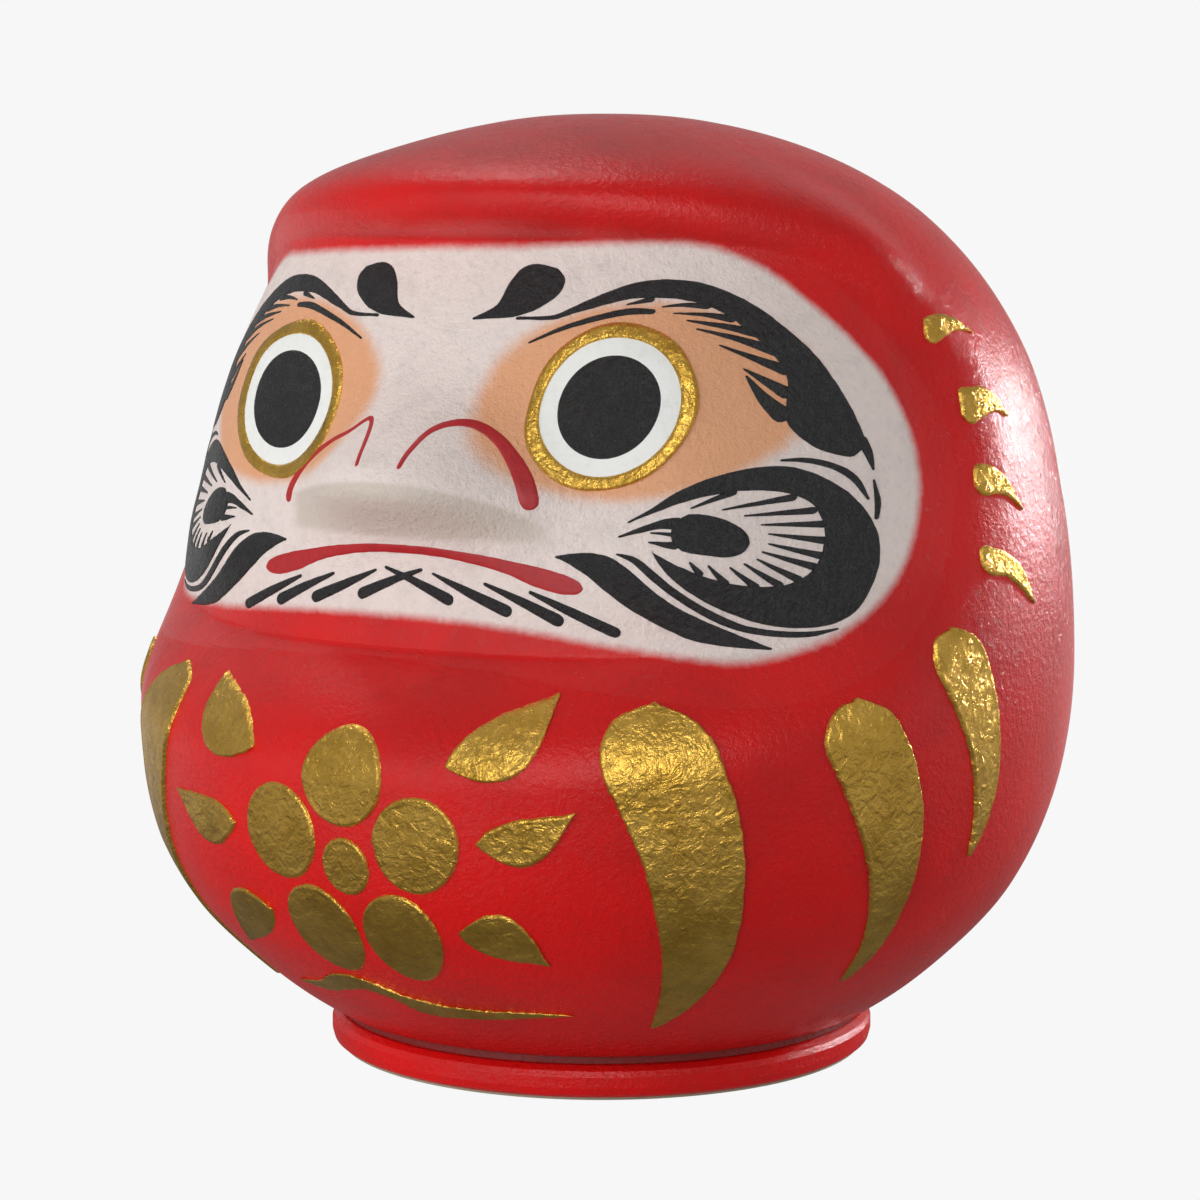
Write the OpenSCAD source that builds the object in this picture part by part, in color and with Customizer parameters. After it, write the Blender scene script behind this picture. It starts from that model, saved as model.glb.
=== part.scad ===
// Daruma doll: a hollow papier-mache tumbler figure on a weighted foot.
// Millimetres. +Z is up, the doll looks along -Y, and the origin is the
// centre of the underside. The doll's own left hand side is +X.

/* [Body] */
// Greatest radius of the rounded body
belly_r = 76; // [72:1:80]
// Height of the widest level of the body
belly_z = 64; // [61:1:67]
// Overall height
total_h = 150; // [146:1:154]
// Wall thickness of the moulded paper shell
wall = 2.5; // [1.5:0.5:3.5]
// Height of the shell's lower edge
shell_z = 7; // [7:0.5:8]

/* [Face] */
// Half width of the sunken face, in degrees round the body
face_half = 77; // [75:1:79]
// Height of the level where the face is widest
face_mid = 97; // [95:1:99]
// Rise of the face above that level
face_up = 33.5; // [32:0.5:35]
// Drop of the face below that level
face_down = 27; // [25:1:29]
// How far the nose stands out
nose_out = 12; // [8:1:14]

/* [Foot] */
// Outer radius of the foot ring
foot_r = 44.2; // [43:0.2:45]
// Inner radius of the foot ring
foot_bore = 30; // [24:1:34]
// Height of the top of the foot ring
foot_h = 5.6; // [5:0.1:6]
// Thickness of the paper glued under the foot
paper_t = 0.5; // [0.3:0.1:0.8]
// Height of the clay weight above the ground
clay_h = 22; // [14:1:30]

/* [Paint and leaf] */
// Thickness of the chalk-white coat on the face
coat_t = 0.25; // [0.15:0.05:0.35]
// Thickness of the ink strokes
ink_t = 0.35; // [0.2:0.05:0.4]
// Thickness of the raised gold
gold_t = 0.45; // [0.3:0.05:0.6]

/* [Hidden] */

lacquer = "#b01c1c";
chalk = "#ddd2cc";
ink = "#202020";
vermilion = "#a81418";
leaf = "#b8922c";
$fn = 96;

// Skins lie on each other from the shell outwards with a hair of room between them
film = 0.15;
coat_base = film;
ink_base = coat_base + coat_t + film;
ring_base = ink_base + ink_t + film;

// ---------- the surface of the doll ----------

function smooth(t) = let(c = min(1, max(0, t))) c * c * (3 - 2 * c);
function bump(d, w, n = 2) = exp(-pow(abs(d) / w, n));

// Small departures of the body from its plain oval: extra radius, and how far it leans back
function swell(z) = lookup(z, [
    [9, 0], [17, -0.2], [26, 0.7], [34, 0.6], [50, -0.2],
    [92, -1], [112, 0], [136, 0], [142, -0.7], [148, -2]
]);
function lean(z) = lookup(z, [
    [8, 0], [24, -0.4], [34, -0.4], [50, 1.2], [64, 1.8], [125, 1.8], [140, 1.2], [150, 1.2]
]);

// The oval is blunter above the belly than below it
top_power = 2.38;
base_power = 2.2;
under_b = 67;
function egg_power(up) = up ? top_power : base_power;
function egg_b(up) = up ? total_h - belly_z : under_b;

// Radius of the plain body at a height
function body_r(z) =
    let(up = z >= belly_z, n = egg_power(up))
    belly_r * pow(max(0, 1 - pow(abs(z - belly_z) / egg_b(up), n)), 1 / n) + swell(z);

// Radius and height at an angle of elevation seen from the middle of the belly
function body_ring(a) =
    let(up = a >= 0, n = egg_power(up),
        r = pow(pow(cos(a) / belly_r, n) + pow(abs(sin(a)) / egg_b(up), n), -1 / n),
        z = belly_z + r * sin(a))
    [r * cos(a) + swell(z) * min(1, r * cos(a) / 20), z];

// Three rims round the face. Inside the inner one the face lies at its full depth, outside the outer
// one the body is untouched, and the hood swells along the third. Each is a rounded box:
// [half width in degrees, middle height, reach up, reach down, squareness up, squareness down]
inner_rim = [face_half, face_mid, face_up, face_down, 6, 3.8];
outer_rim = [face_half + 12, face_mid - 2, face_up + 12.5, face_down + 16, 4, 2.8];
hood_edge = [face_half - 1, face_mid + 2, face_up + 0.5, face_down + 2, 4.2, 2.8];
// Radius at which degrees round the face are turned into millimetres
rim_r = 68;

// Distance outside a rim, and the share of it that is up or down
function rim_distance(t, z, rim) =
    let(upper = z > rim[1], h = upper ? rim[2] : rim[3], n = upper ? rim[4] : rim[5],
        w = rim[0] * PI / 180 * rim_r,
        u = abs(t) / rim[0], v = abs(z - rim[1]) / h,
        q = max(0.001, pow(pow(u, n) + pow(v, n), 1 / n)),
        gu = pow(u, n - 1) / w, gv = pow(v, n - 1) / h,
        g = max(0.000001, norm([gu, gv])))
    [(q - 1) * pow(q, n - 1) / g, pow(gv / g, 2)];

// How far the skin has sunk from the body to the face: 0 outside the outer rim, 1 inside the inner one.
// Under the brow it turns in sharply, at the cheeks it rolls over.
function face_share(t, z) =
    let(beyond = rim_distance(t, z, inner_rim), inside = -rim_distance(t, z, outer_rim)[0],
        between = min(1, max(0, inside / max(0.01, inside + max(0, beyond[0])))),
        s = beyond[0] <= 0 ? 1 : between)
    s * s * beyond[1] + smooth(s) * (1 - beyond[1]);

// Half width of the face sheet, and how far forward it stands on its middle line
function face_side(z) = lookup(z, [
    [60, 74.2], [75, 73.6], [85, 72], [95, 69.7], [104, 66.9], [111, 64.4],
    [117, 61.4], [123, 58.1], [128, 56.2], [133, 54], [140, 47]
]);
function face_front(z) = lookup(z, [
    [60, 57.5], [84, 54.6], [90, 52.3], [104, 49.4], [119, 44.8], [127, 41.6], [131, 41.2], [140, 38]
]);

// Plan radius of the face sheet, an oval with a slight swelling round each eye
function face_r(t, z) =
    let(eye = 2.2 * bump(abs(t) - 42, 12) * smooth((z - 72) / 12) * smooth((122 - z) / 10))
    1 / norm([sin(t) / face_side(z), cos(t) / face_front(z)]) + eye;

// Nose: narrow at the bridge, wide at the nostrils, with a short underside
nose_z = 95;
function nose(x, z) =
    let(w = lookup(z, [[88, 21], [92, 20], [98, 16], [108, 13]]))
    nose_out * bump(x, w, 2.6) * bump(z - nose_z, z > nose_z ? 9.5 : 7.5);

// Raised rim of the hood over the brow
function hood_rim(t, z) =
    let(e = rim_distance(t, z, hood_edge))
    abs(t) > 107 ? 0 :
    3.6 * e[1] * bump(e[0] - 8, 5) * smooth((z - 100) / 30) * smooth((cos(t) + 0.3) / 0.3);

// Distance of the surface from the axis, before the lean and the nose are added
function plan_r(t, z, rho) =
    let(m = face_share(t, z))
    rho * (1 - m) + min(rho, face_r(t, z)) * m + hood_rim(t, z);

// Surface point at an angle round the body, out from the surface by d
function skin_at(t, z, rho, d) =
    let(m = face_share(t, z), r = plan_r(t, z, rho) + d, x = r * sin(t))
    [x, lean(z) * (1 - m) - r * cos(t) - m * nose(x, z), z];

// Angle round the body of the surface point with a given x, by halving
function angle_of(x, z, rho, low, high, steps) =
    let(mid = (low + high) / 2)
    steps == 0 ? mid :
    plan_r(mid, z, rho) * sin(mid) < x ? angle_of(x, z, rho, mid, high, steps - 1)
                                       : angle_of(x, z, rho, low, mid, steps - 1);

// Two ways to place a drawing: [angle, z] on the body, [x, z] on the face
on_body = function(p, d) skin_at(p[0], p[1], body_r(p[1]), d);
on_face = function(p, d)
    let(rho = body_r(p[1]), side = p[0] < 0 ? -1 : 1)
    skin_at(side * angle_of(abs(p[0]), p[1], rho, 0, 88, 14), p[1], rho, d);

// ---------- thin solids that follow the surface ----------

// Closed solid between the offsets under and over of the patch at(u, v, d).
// With loop set, u runs round and joins itself.
module sheet(nu, nv, at, under, over, flip = false, loop = false) {
    rows = loop ? nu : nu + 1;
    n = rows * (nv + 1);
    points = [for (d = [over, under], i = [0:rows - 1], j = [0:nv]) at(i / nu, j / nv, d)];
    function id(i, j) = (i % rows) * (nv + 1) + j;
    function wall_of(p, q) = [[q, p, p + n], [q, p + n, q + n]];
    over_faces = [for (i = [0:nu - 1], j = [0:nv - 1])
        each [[id(i, j), id(i, j + 1), id(i + 1, j + 1)], [id(i, j), id(i + 1, j + 1), id(i + 1, j)]]];
    under_faces = [for (f = over_faces) [f[2] + n, f[1] + n, f[0] + n]];
    sides = [for (i = [0:nu - 1])
        each concat(wall_of(id(i + 1, 0), id(i, 0)), wall_of(id(i, nv), id(i + 1, nv)))];
    ends = loop ? [] : [for (j = [0:nv - 1])
        each concat(wall_of(id(0, j), id(0, j + 1)), wall_of(id(nu, j + 1), id(nu, j)))];
    faces = concat(over_faces, under_faces, sides, ends);
    polyhedron(points, flip ? [for (f = faces) [f[2], f[1], f[0]]] : faces, convexity = 6);
}

// Smooth curve through a list of stations, s counted in stations
function through(p, s) =
    let(i = min(floor(s), len(p) - 2), t = s - i,
        a = p[max(i - 1, 0)], b = p[i], c = p[i + 1], d = p[min(i + 2, len(p) - 1)])
    0.5 * (2 * b + (c - a) * t + (2 * a - 5 * b + 4 * c - d) * t * t + (3 * b - a - 3 * c + d) * t * t * t);

// Signed area between the two edges of a stroke, which tells which way it was listed
function turn(a, b) = a[0] * b[1] - a[1] * b[0];
function loop_area(p) = let(n = len(p)) [for (i = [0:n - 1]) turn(p[i], p[(i + 1) % n])] * [for (p = p) 0.5];
function stroke_area(edges) =
    let(n = len(edges))
    loop_area(concat([for (e = edges) [e[2], e[3]]], [for (i = [n - 1:-1:0]) [edges[i][0], edges[i][1]]]));

// Brush stroke between two edges, each station [edge a, edge b]
module stroke(edges, place, under, thick, across = 2, along = 2) {
    count = len(edges) - 1;
    at = function(u, v, d)
        let(e = through(edges, u * count))
        place([e[2] * (1 - v) + e[0] * v, e[3] * (1 - v) + e[1] * v], d);
    sheet(count * along, across, at, under, under + thick, flip = stroke_area(edges) < 0);
}

// Thin hair with a round-ended body: centre line points [x, z, half width]
function hair_edges(line) =
    [for (i = [0:len(line) - 1])
        let(a = line[max(0, i - 1)], b = line[min(len(line) - 1, i + 1)], p = line[i],
            run = norm([b[0] - a[0], b[1] - a[1]]),
            side = [a[1] - b[1], b[0] - a[0]] * p[2] / run)
        [p[0] + side[0], p[1] + side[1], p[0] - side[0], p[1] - side[1]]];
module hair(line, place, under, thick, along = 2) {
    stroke(hair_edges(line), place, under, thick, 1, along);
}

// Filled round patch, made on a square grid that is rounded off
module patch(centre, size, place, under, thick, cells, wobble = 0) {
    at = function(u, v, d)
        let(a = 2 * u - 1, b = 2 * v - 1,
            x = a * sqrt(1 - b * b / 2), y = b * sqrt(1 - a * a / 2),
            r = 1 + wobble * (x * x - y * y))
        place([centre[0] + size[0] * x * r, centre[1] + size[1] * y * r], d);
    sheet(cells, cells, at, under, under + thick);
}

// Round band between two sizes
module band(centre, inner, outer, place, under, thick, cells) {
    at = function(u, v, d)
        let(s = inner * (1 - v) + outer * v, a = -360 * u)
        place([centre[0] + s[0] * cos(a), centre[1] + s[1] * sin(a)], d);
    sheet(cells, 2, at, under, under + thick, loop = true);
}

module on_side(side) {
    if (side > 0) children();
    else mirror([1, 0, 0]) children();
}

// ---------- shell and foot ----------

// Columns lie closer together where the hood turns into the cheeks, rings where it turns into the brow
brow_columns = [for (t = [0:5:40]) t];
cheek_columns = [for (t = [43:3:88]) t];
back_columns = [for (t = [98:12:170]) t];
half_columns = concat(brow_columns, cheek_columns, back_columns);

module body_shell() {
    m = len(half_columns);
    angles = concat([for (i = [m - 1:-1:1]) -half_columns[i]], half_columns);
    n = len(angles);
    low = atan2(shell_z - belly_z, body_r(shell_z));
    outer_levels = concat(
        [for (k = [0:7]) low * (1 - k / 8)], [for (a = [0:3:33]) a],
        [for (a = [36:2:66]) a], [for (a = [70:4:86]) a]);
    inner_levels = concat(
        [for (k = [0:4]) low * (1 - k / 5)], [for (a = [0:6:30]) a],
        [for (a = [36:3:66]) a], [74, 82]);
    // Towards the crown the wall is measured downwards instead of inwards
    function ring(a, d) =
        let(p = body_ring(a), z = p[1] - d * max(0, sin(a)))
        [for (t = angles) skin_at(t, z, p[0], -d * min(1, 2 * cos(a)))];
    outer = [for (a = outer_levels) each ring(a, 0)];
    inner = [for (a = inner_levels) each ring(a, wall)];
    tip = [0, lean(total_h), total_h];
    inside = len(outer) + 1;
    points = concat(outer, [tip], inner, [tip - [0, 0, wall]]);
    function quad(a, b, c, d) = [[a, b, c], [a, c, d]];
    function skin_faces(first, rings, tip_id) = concat(
        [for (k = [0:rings - 2], i = [0:n - 1]) let(a = first + k * n, j = (i + 1) % n)
            each quad(a + i, a + n + i, a + n + j, a + j)],
        [for (i = [0:n - 1]) let(a = first + (rings - 1) * n) [a + i, tip_id, a + (i + 1) % n]]);
    outer_faces = skin_faces(0, len(outer_levels), inside - 1);
    inner_faces = [for (f = skin_faces(inside, len(inner_levels), len(points) - 1)) [f[2], f[1], f[0]]];
    rim = [for (i = [0:n - 1]) let(j = (i + 1) % n) each quad(i, j, inside + j, inside + i)];
    color(lacquer) polyhedron(points, concat(outer_faces, inner_faces, rim), convexity = 8);
}

// Paper strip over the slit through which the mould was taken out
module back_seam_strip() {
    half = 8;
    at = function(u, v, d) on_body([180 - half + 2 * half * u, 22 + 100 * v], d);
    color(lacquer) sheet(4, 16, at, coat_base, coat_base + 0.4);
}

// Board disc glued across the open bottom of the shell
module closing_disc() {
    color("#4a1512")
    difference() {
        translate([0, 0, foot_h]) cylinder(r = foot_r - 1.6, h = shell_z - foot_h - 0.1);
        translate([0, 0, foot_h - 1]) cylinder(r = foot_bore, h = 4);
    }
}

module foot_ring() {
    edge = 1;
    color(lacquer)
    rotate_extrude()
        polygon([
            [foot_bore, paper_t], [foot_r - edge, paper_t],
            [foot_r - 0.3, paper_t + 0.5], [foot_r, paper_t + 1.6],
            [foot_r, foot_h - 1.8], [foot_r - 0.4, foot_h - 0.9],
            [foot_r - 1.2, foot_h - 0.2], [foot_r - 2, foot_h], [foot_bore, foot_h]
        ]);
}

module bottom_paper() {
    color("#8a7a66") cylinder(r = foot_r - 1.4, h = paper_t);
}

// Low clay dome that fills the foot and makes the doll right itself
module clay_weight() {
    play = 0.2;
    dome_r = foot_bore + 3;
    floor_z = shell_z + play;
    color("#a07a55")
    rotate_extrude()
        polygon(concat(
            [[0, paper_t], [foot_bore - play, paper_t], [foot_bore - play, floor_z], [dome_r, floor_z]],
            [for (a = [15:15:90]) [dome_r * cos(a), floor_z + (clay_h - floor_z) * sin(a)]]
        ));
}

// ---------- face ----------

// White ground of the face, inside the soft edge of the red
white_up = 32.4;
white_down = 22;
white_half = 75.8;
module face_coat() {
    at = function(u, v, d)
        let(a = 2 * u - 1, b = 2 * v - 1,
            x = a * sqrt(1 - b * b / 2), y = b * sqrt(1 - a * a / 2),
            r = norm([x, y]), up = y > 0,
            n = up ? 3.5 : 3.2,
            grow = r < 0.001 ? 1 : r / pow(pow(abs(x), n) + pow(abs(y), n), 1 / n),
            t = white_half * x * grow,
            drop = up ? white_up : white_down + 6.5 * smooth(abs(t) / 50))
        on_body([t, face_mid + drop * y * grow], d);
    color(chalk) sheet(32, 16, at, coat_base, coat_base + coat_t);
}

// Eyes sit at slightly different heights, as painted by hand
function eye_at(side) = [29.1, side > 0 ? 106.4 : 105.8];
module eye_white(side) {
    color("#ecebe6") on_side(side) patch(eye_at(side), [11.3, 11.2], on_face, ink_base, ink_t, 10);
}
module eye_ring(side) {
    color(leaf) on_side(side) band(eye_at(side), [10.1, 10.1], [12.2, 12.1], on_face, ring_base, gold_t, 36);
}
module pupil(side) {
    color(ink) on_side(side) patch(eye_at(side), [7.6, 7.5], on_face, ring_base, ink_t, 8);
}

module brow_drop(side) {
    edges = [
        [5.2, 118.9, 5.3, 118.7], [8.4, 120.5, 9.4, 118.9], [9.5, 122, 12.2, 119.2],
        [10.2, 124.2, 15.4, 120.3], [11.8, 126.3, 18.2, 122.4], [14, 127, 18.8, 124.6], [16.6, 126.6, 18, 126]
    ];
    color(ink) on_side(side) stroke(edges, on_face, ink_base, ink_t, 3);
}

// Sweeping brow with combed hairs along its inner edge
module brow(side) {
    edges = [
        [12.4, 119.2, 12.4, 118.8], [18, 119.5, 18, 118.8], [21, 120.8, 21, 119.7], [25, 122.8, 25, 120.9],
        [29, 124.3, 28.6, 121.9], [33, 124.8, 32.6, 122.1], [37, 124.4, 36.4, 121.7], [41, 123, 39.6, 120.7],
        [44.6, 121, 42.6, 119], [48, 118.4, 45.6, 116.6], [51.1, 115.6, 48.4, 113.8],
        [53.8, 112.5, 50.4, 110.8], [56.2, 109, 51, 107.4], [58.4, 105, 51.6, 104.2],
        [59.9, 101.6, 54.2, 101.2], [60.2, 99.4, 57.8, 98.9]
    ];
    hairs = [
        [[32, 122, 0.5], [28.4, 121.1, 0.1]],
        [[39.5, 120.9, 0.5], [36, 121.1, 0.3], [33.2, 120.8, 0.1]],
        [[43, 119, 0.6], [39, 119.7, 0.3], [35, 119.9, 0.1]],
        [[46.5, 116.8, 0.6], [42, 118, 0.4], [37, 118.9, 0.1]],
        [[49.4, 114, 0.7], [44, 116.2, 0.4], [38.6, 117.7, 0.1]],
        [[50.8, 111.4, 0.8], [46.5, 113.4, 0.4], [42, 115.4, 0.1]],
        [[51.4, 108, 0.9], [48.5, 110, 0.5], [45.5, 112, 0.1]],
        [[51.6, 104.6, 1.2], [48.6, 107.6, 0.7], [46, 111, 0.1]],
        [[59.4, 102, 0.5], [60.6, 99.4, 0.4], [61.4, 97.1, 0.1]]
    ];
    color(ink) on_side(side) {
        stroke(edges, on_face, ink_base, ink_t);
        for (line = hairs) hair(line, on_face, ink_base + 0.02, ink_t - 0.04);
    }
}

module lid_line(side) {
    line = [[15.1, 115.4, 0.15], [20, 117.6, 0.35], [25, 119.2, 0.45], [29, 120.1, 0.5], [32.6, 120.1, 0.35]];
    color(ink) on_side(side) hair(line, on_face, ink_base, ink_t);
}

module nose_line(side) {
    // The two halves are painted freely: a round wing on the left, a peaked one on the right
    round_wing = [
        [3.6, 97.4, 0.35], [3.8, 99.8, 0.45], [4.9, 102.6, 0.5], [7.6, 103.8, 0.5], [10.8, 103.6, 0.55],
        [14.2, 101.8, 0.65], [17.2, 98.8, 0.85], [19.7, 95.2, 1.1], [21.1, 91.6, 1.2]
    ];
    peaked_wing = [
        [3.8, 97.4, 0.35], [4.8, 100.1, 0.4], [5.9, 102, 0.4], [7.7, 103.8, 0.35], [9.6, 102.9, 0.35],
        [12.5, 101.5, 0.35], [18.4, 98.8, 0.45], [22, 95.8, 0.65], [23.8, 92.6, 0.85], [24.3, 90.6, 0.8]
    ];
    line = side > 0 ? round_wing : peaked_wing;
    color(vermilion) on_side(side) hair(line, on_face, ink_base, ink_t);
}

// Down-turned mouth, thin in the middle and full at its corners
module mouth() {
    half = [
        [0, 85.7, 0, 84.4], [6, 85.5, 6, 84.2], [12, 84.9, 12, 83.3], [17, 84.1, 16.6, 82.2],
        [22, 83.2, 21.4, 80.4], [26.4, 82.1, 25.6, 79.4], [28.8, 81, 28.6, 79.5]
    ];
    n = len(half);
    left = [for (i = [n - 1:-1:1]) [-half[i][0], half[i][1], -half[i][2], half[i][3]]];
    color(vermilion) stroke(concat(left, half), on_face, ink_base, ink_t);
}

// Comma-shaped whisker on the cheek, its open middle filled with fine hairs
module whisker(side) {
    edges = [
        [34.2, 90.1, 34.3, 89.9], [37.2, 92, 37.5, 91.3], [40.7, 94.6, 41.2, 92.9], [44.7, 96.6, 45.2, 94.1],
        [48.7, 97.8, 49.2, 94.6], [52.7, 97.9, 52.7, 94.2], [56.2, 96.5, 55.5, 92.8], [59.2, 94.2, 57, 90.6],
        [61.5, 91.2, 57.7, 88.2], [63.1, 87.8, 57.8, 85.8], [63.7, 84, 57.5, 83.9], [63.3, 80.6, 56.5, 82.3],
        [62.2, 77.3, 54.7, 81.2], [59.9, 75.3, 52.2, 80.9], [56.2, 74.8, 49.5, 81.2], [52.2, 75.4, 46.7, 82],
        [48.2, 77.1, 44.2, 83], [44.2, 79.6, 41.7, 84.2], [40.7, 82.8, 39.7, 85.2], [38.1, 86.2, 38.2, 86]
    ];
    // Each hair runs from the dark band in to a point
    hairs = [
        [47.5, 94.6, 42.4, 92.1], [54.1, 93.6, 46.1, 91.9], [56.5, 91.6, 48.7, 91], [57.9, 89.6, 50.7, 89.7],
        [58.2, 87.2, 51.7, 88.4], [58.2, 85, 51.9, 87], [57.7, 83.4, 51.4, 85.9], [56.1, 81.6, 51, 84.9],
        [54.1, 80.8, 49.7, 84.3], [51.5, 80.6, 48.2, 83.8], [48.1, 81.2, 45.7, 84.1], [45.1, 82.6, 43.4, 84.6]
    ];
    color(ink) on_side(side) {
        stroke(edges, on_face, ink_base, ink_t, 3);
        for (h = hairs)
            hair([[h[0], h[1], 0.55], [h[2], h[3], 0.12]], on_face, ink_base + 0.02, ink_t - 0.04, 3);
        hair([[51.6, 98.8, 0.15], [54.2, 98.8, 0.35], [57.2, 97.9, 0.4], [59.7, 96, 0.4], [61.5, 92.9, 0.12]],
             on_face, ink_base, ink_t);
        hair([[61.6, 95.8, 0.1], [62.4, 92.6, 0.3], [62.6, 90, 0.2]], on_face, ink_base, ink_t);
    }
}

// Dark oval in the middle of the whisker, feathered towards the nose
module whisker_eye(side) {
    edges = [
        [40.3, 91, 40.5, 86.4], [42.7, 91.4, 42.7, 85.9], [45.7, 90.9, 45.7, 85.4], [48.1, 89.7, 48.1, 85.2],
        [49.5, 88.3, 49.5, 85.9], [49.9, 87.3, 49.9, 86.8]
    ];
    color(ink) on_side(side) {
        stroke(edges, on_face, ink_base, ink_t, 3);
        stroke([[33.1, 88, 33.2, 87.8], [35.7, 89.2, 36.1, 88.5], [38.7, 90.4, 39.1, 89.2],
                [41.7, 91.1, 41.7, 88.9]],
               on_face, ink_base + 0.02, ink_t - 0.04);
        hair([[37.6, 88.6, 0.1], [39.7, 88.5, 0.25], [41.7, 88.2, 0.3]],
             on_face, ink_base + 0.02, ink_t - 0.04);
        stroke([[37.5, 87.4, 37.6, 87.2], [39.3, 87.4, 39.4, 86.7], [41.7, 87.5, 41.7, 86.1]],
               on_face, ink_base + 0.02, ink_t - 0.04);
    }
}

module moustache(side) {
    edges = [
        [24.3, 84.9, 24.4, 84.7], [27, 85.4, 26.5, 83.8], [30, 85.5, 29.5, 82.1], [33, 84.8, 32, 80.1],
        [36, 82.9, 35, 77.9], [39, 80.2, 38, 76], [42, 77.9, 41, 74.3], [45.5, 75.8, 44, 73],
        [49.5, 73.8, 48, 72.2], [53.4, 71.9, 53.2, 71.7]
    ];
    color(ink) on_side(side) stroke(edges, on_face, ink_base, ink_t, 3);
}

module jaw_line(side) {
    line = [
        [33.3, 85.5, 0.12], [36, 84.7, 0.45], [38.4, 82.9, 0.6], [41, 80.6, 0.6], [44, 78.2, 0.6],
        [47, 76.2, 0.6], [50, 74.8, 0.5], [54, 74, 0.45], [57.6, 73.9, 0.4], [60.4, 74.6, 0.12]
    ];
    color(ink) on_side(side) hair(line, on_face, ink_base, ink_t);
}

// Slanting strokes under the mouth; the first from each side cross in the middle
module chin_strokes(side) {
    lines = [
        [[-3.4, 82.1, 0.2], [2, 80.2, 0.5], [8.6, 77.5, 0.75]],
        [[5, 81.6, 0.15], [11, 79.1, 0.55], [18.1, 76.3, 0.75]],
        [[13.5, 80.5, 0.2], [20, 77.9, 0.55], [26, 75.2, 0.75]],
        [[20.6, 79.6, 0.2], [27, 76.9, 0.55], [34.1, 73.8, 0.65]]
    ];
    // The crossing pair is kept apart by lifting one side
    lift = side > 0 ? 0 : ink_t + film;
    color(ink) on_side(side)
    for (i = [0:3]) hair(lines[i], on_face, ink_base + (i == 0 ? lift : 0), ink_t);
}

// ---------- gold on the body, drawn in degrees and height ----------

gold_base = film;

// Three tapering strokes that fan out below the cheek
module gold_beard(side) {
    strokes = [
        [
            [37, 65.1, 38.6, 65.1], [33.4, 63.4, 41.6, 63.4], [31.3, 59.8, 43.9, 59.8],
            [31.4, 55.6, 45, 55.6], [33, 51, 46.4, 51], [34.8, 46.4, 47.6, 45.4],
            [36.8, 40.6, 48.5, 39], [38.6, 33, 48.9, 32],
            [39.8, 26, 48.2, 25], [40.1, 20, 45.8, 19], [39.9, 16, 42.6, 15.2], [39.6, 13.9, 40.2, 13.7]
        ],
        [
            [60.6, 65.1, 62, 65.1], [57.8, 63, 64.8, 63], [56.4, 59.2, 67, 59.2], [57.2, 56, 68.5, 55.6],
            [59, 52, 69.8, 51.4], [61.4, 46.4, 71.1, 46], [64.2, 39.8, 72, 39.4], [66.3, 33, 72.2, 32.4],
            [67.6, 27.2, 71.6, 26.4], [68, 22.6, 70.4, 22], [68.3, 20, 69, 19.8]
        ],
        [
            [75, 74, 76.4, 74], [72.8, 72.2, 78.8, 72], [72, 68.4, 80.4, 68], [73.4, 64, 81.7, 63.6],
            [75.9, 59, 82.8, 58.4], [78, 53.6, 83.5, 53], [79.6, 48, 83.7, 47.6], [80.7, 42.6, 83, 42],
            [81.2, 38.8, 81.8, 38.4]
        ]
    ];
    color(leaf) on_side(side) for (edges = strokes) stroke(edges, on_body, gold_base, gold_t, 3);
}

// Four small commas that climb the side of the hood
module gold_commas(side) {
    commas = [
        [
            [81.3, 117.2, 81.6, 114.6], [81.9, 118.8, 82.7, 115.2], [83.6, 119.4, 84.3, 116.2],
            [85.8, 119.2, 86.1, 116.8], [87.7, 118.1, 87.9, 116.7], [89.7, 116.5, 89.6, 116.3]
        ],
        [
            [83, 106, 83.5, 102.9], [83.7, 108.3, 84.4, 103.1], [85.7, 108.7, 85.9, 103.9],
            [87.5, 108.4, 87.5, 104.6], [89.4, 106.8, 89.4, 104.6], [91.2, 104, 91.1, 103.7]
        ],
        [
            [82.8, 94.8, 83.2, 92.6], [83.5, 97.2, 84.2, 92.4], [85.5, 97, 85.8, 92.5],
            [87.2, 95.6, 87.4, 92.2], [88.9, 93.1, 88.9, 91.1], [90.7, 89.9, 90.6, 89.7]
        ],
        [
            [81.6, 83, 82.2, 80.8], [82.4, 85.2, 83.4, 80.7], [84.7, 84.6, 85.2, 80.3],
            [86.9, 83.2, 87, 79.1], [89, 80.7, 89, 77.5], [91.2, 75.6, 91, 75.5]
        ]
    ];
    color(leaf) on_side(side) for (edges = commas) stroke(edges, on_body, gold_base, gold_t);
}

// Five-petalled blossom on the belly
blossom_at = [1, 40];
degree = PI / 180 * 78;
petal_reach = 13.4;
petal_r = 7.3;
module gold_blossom() {
    color(leaf)
    for (k = [0:4]) {
        a = 90 + 72 * k;
        centre = blossom_at + petal_reach * [cos(a) / degree, sin(a)];
        patch(centre, [petal_r / degree, petal_r], on_body, gold_base, gold_t, 6);
    }
}
module gold_blossom_heart() {
    color(leaf) patch(blossom_at, [4.4 / degree, 4.4], on_body, gold_base, gold_t, 5);
}

// Leaf-shaped dab between two points of the belly, in millimetres round and up, bowed to one side
module leaf_dab(from, to, half, bow) {
    run = to - from;
    side = [-run[1], run[0]] / norm(run);
    at = function(u, v, d)
        let(p = from + run * u
                + side * (bow * sin(180 * u) + (2 * v - 1) * max(0.1, half * sin(180 * pow(u, 0.8)))))
        on_body([p[0] / degree, p[1]], d);
    sheet(10, 3, at, gold_base, gold_base + gold_t);
}

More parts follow.
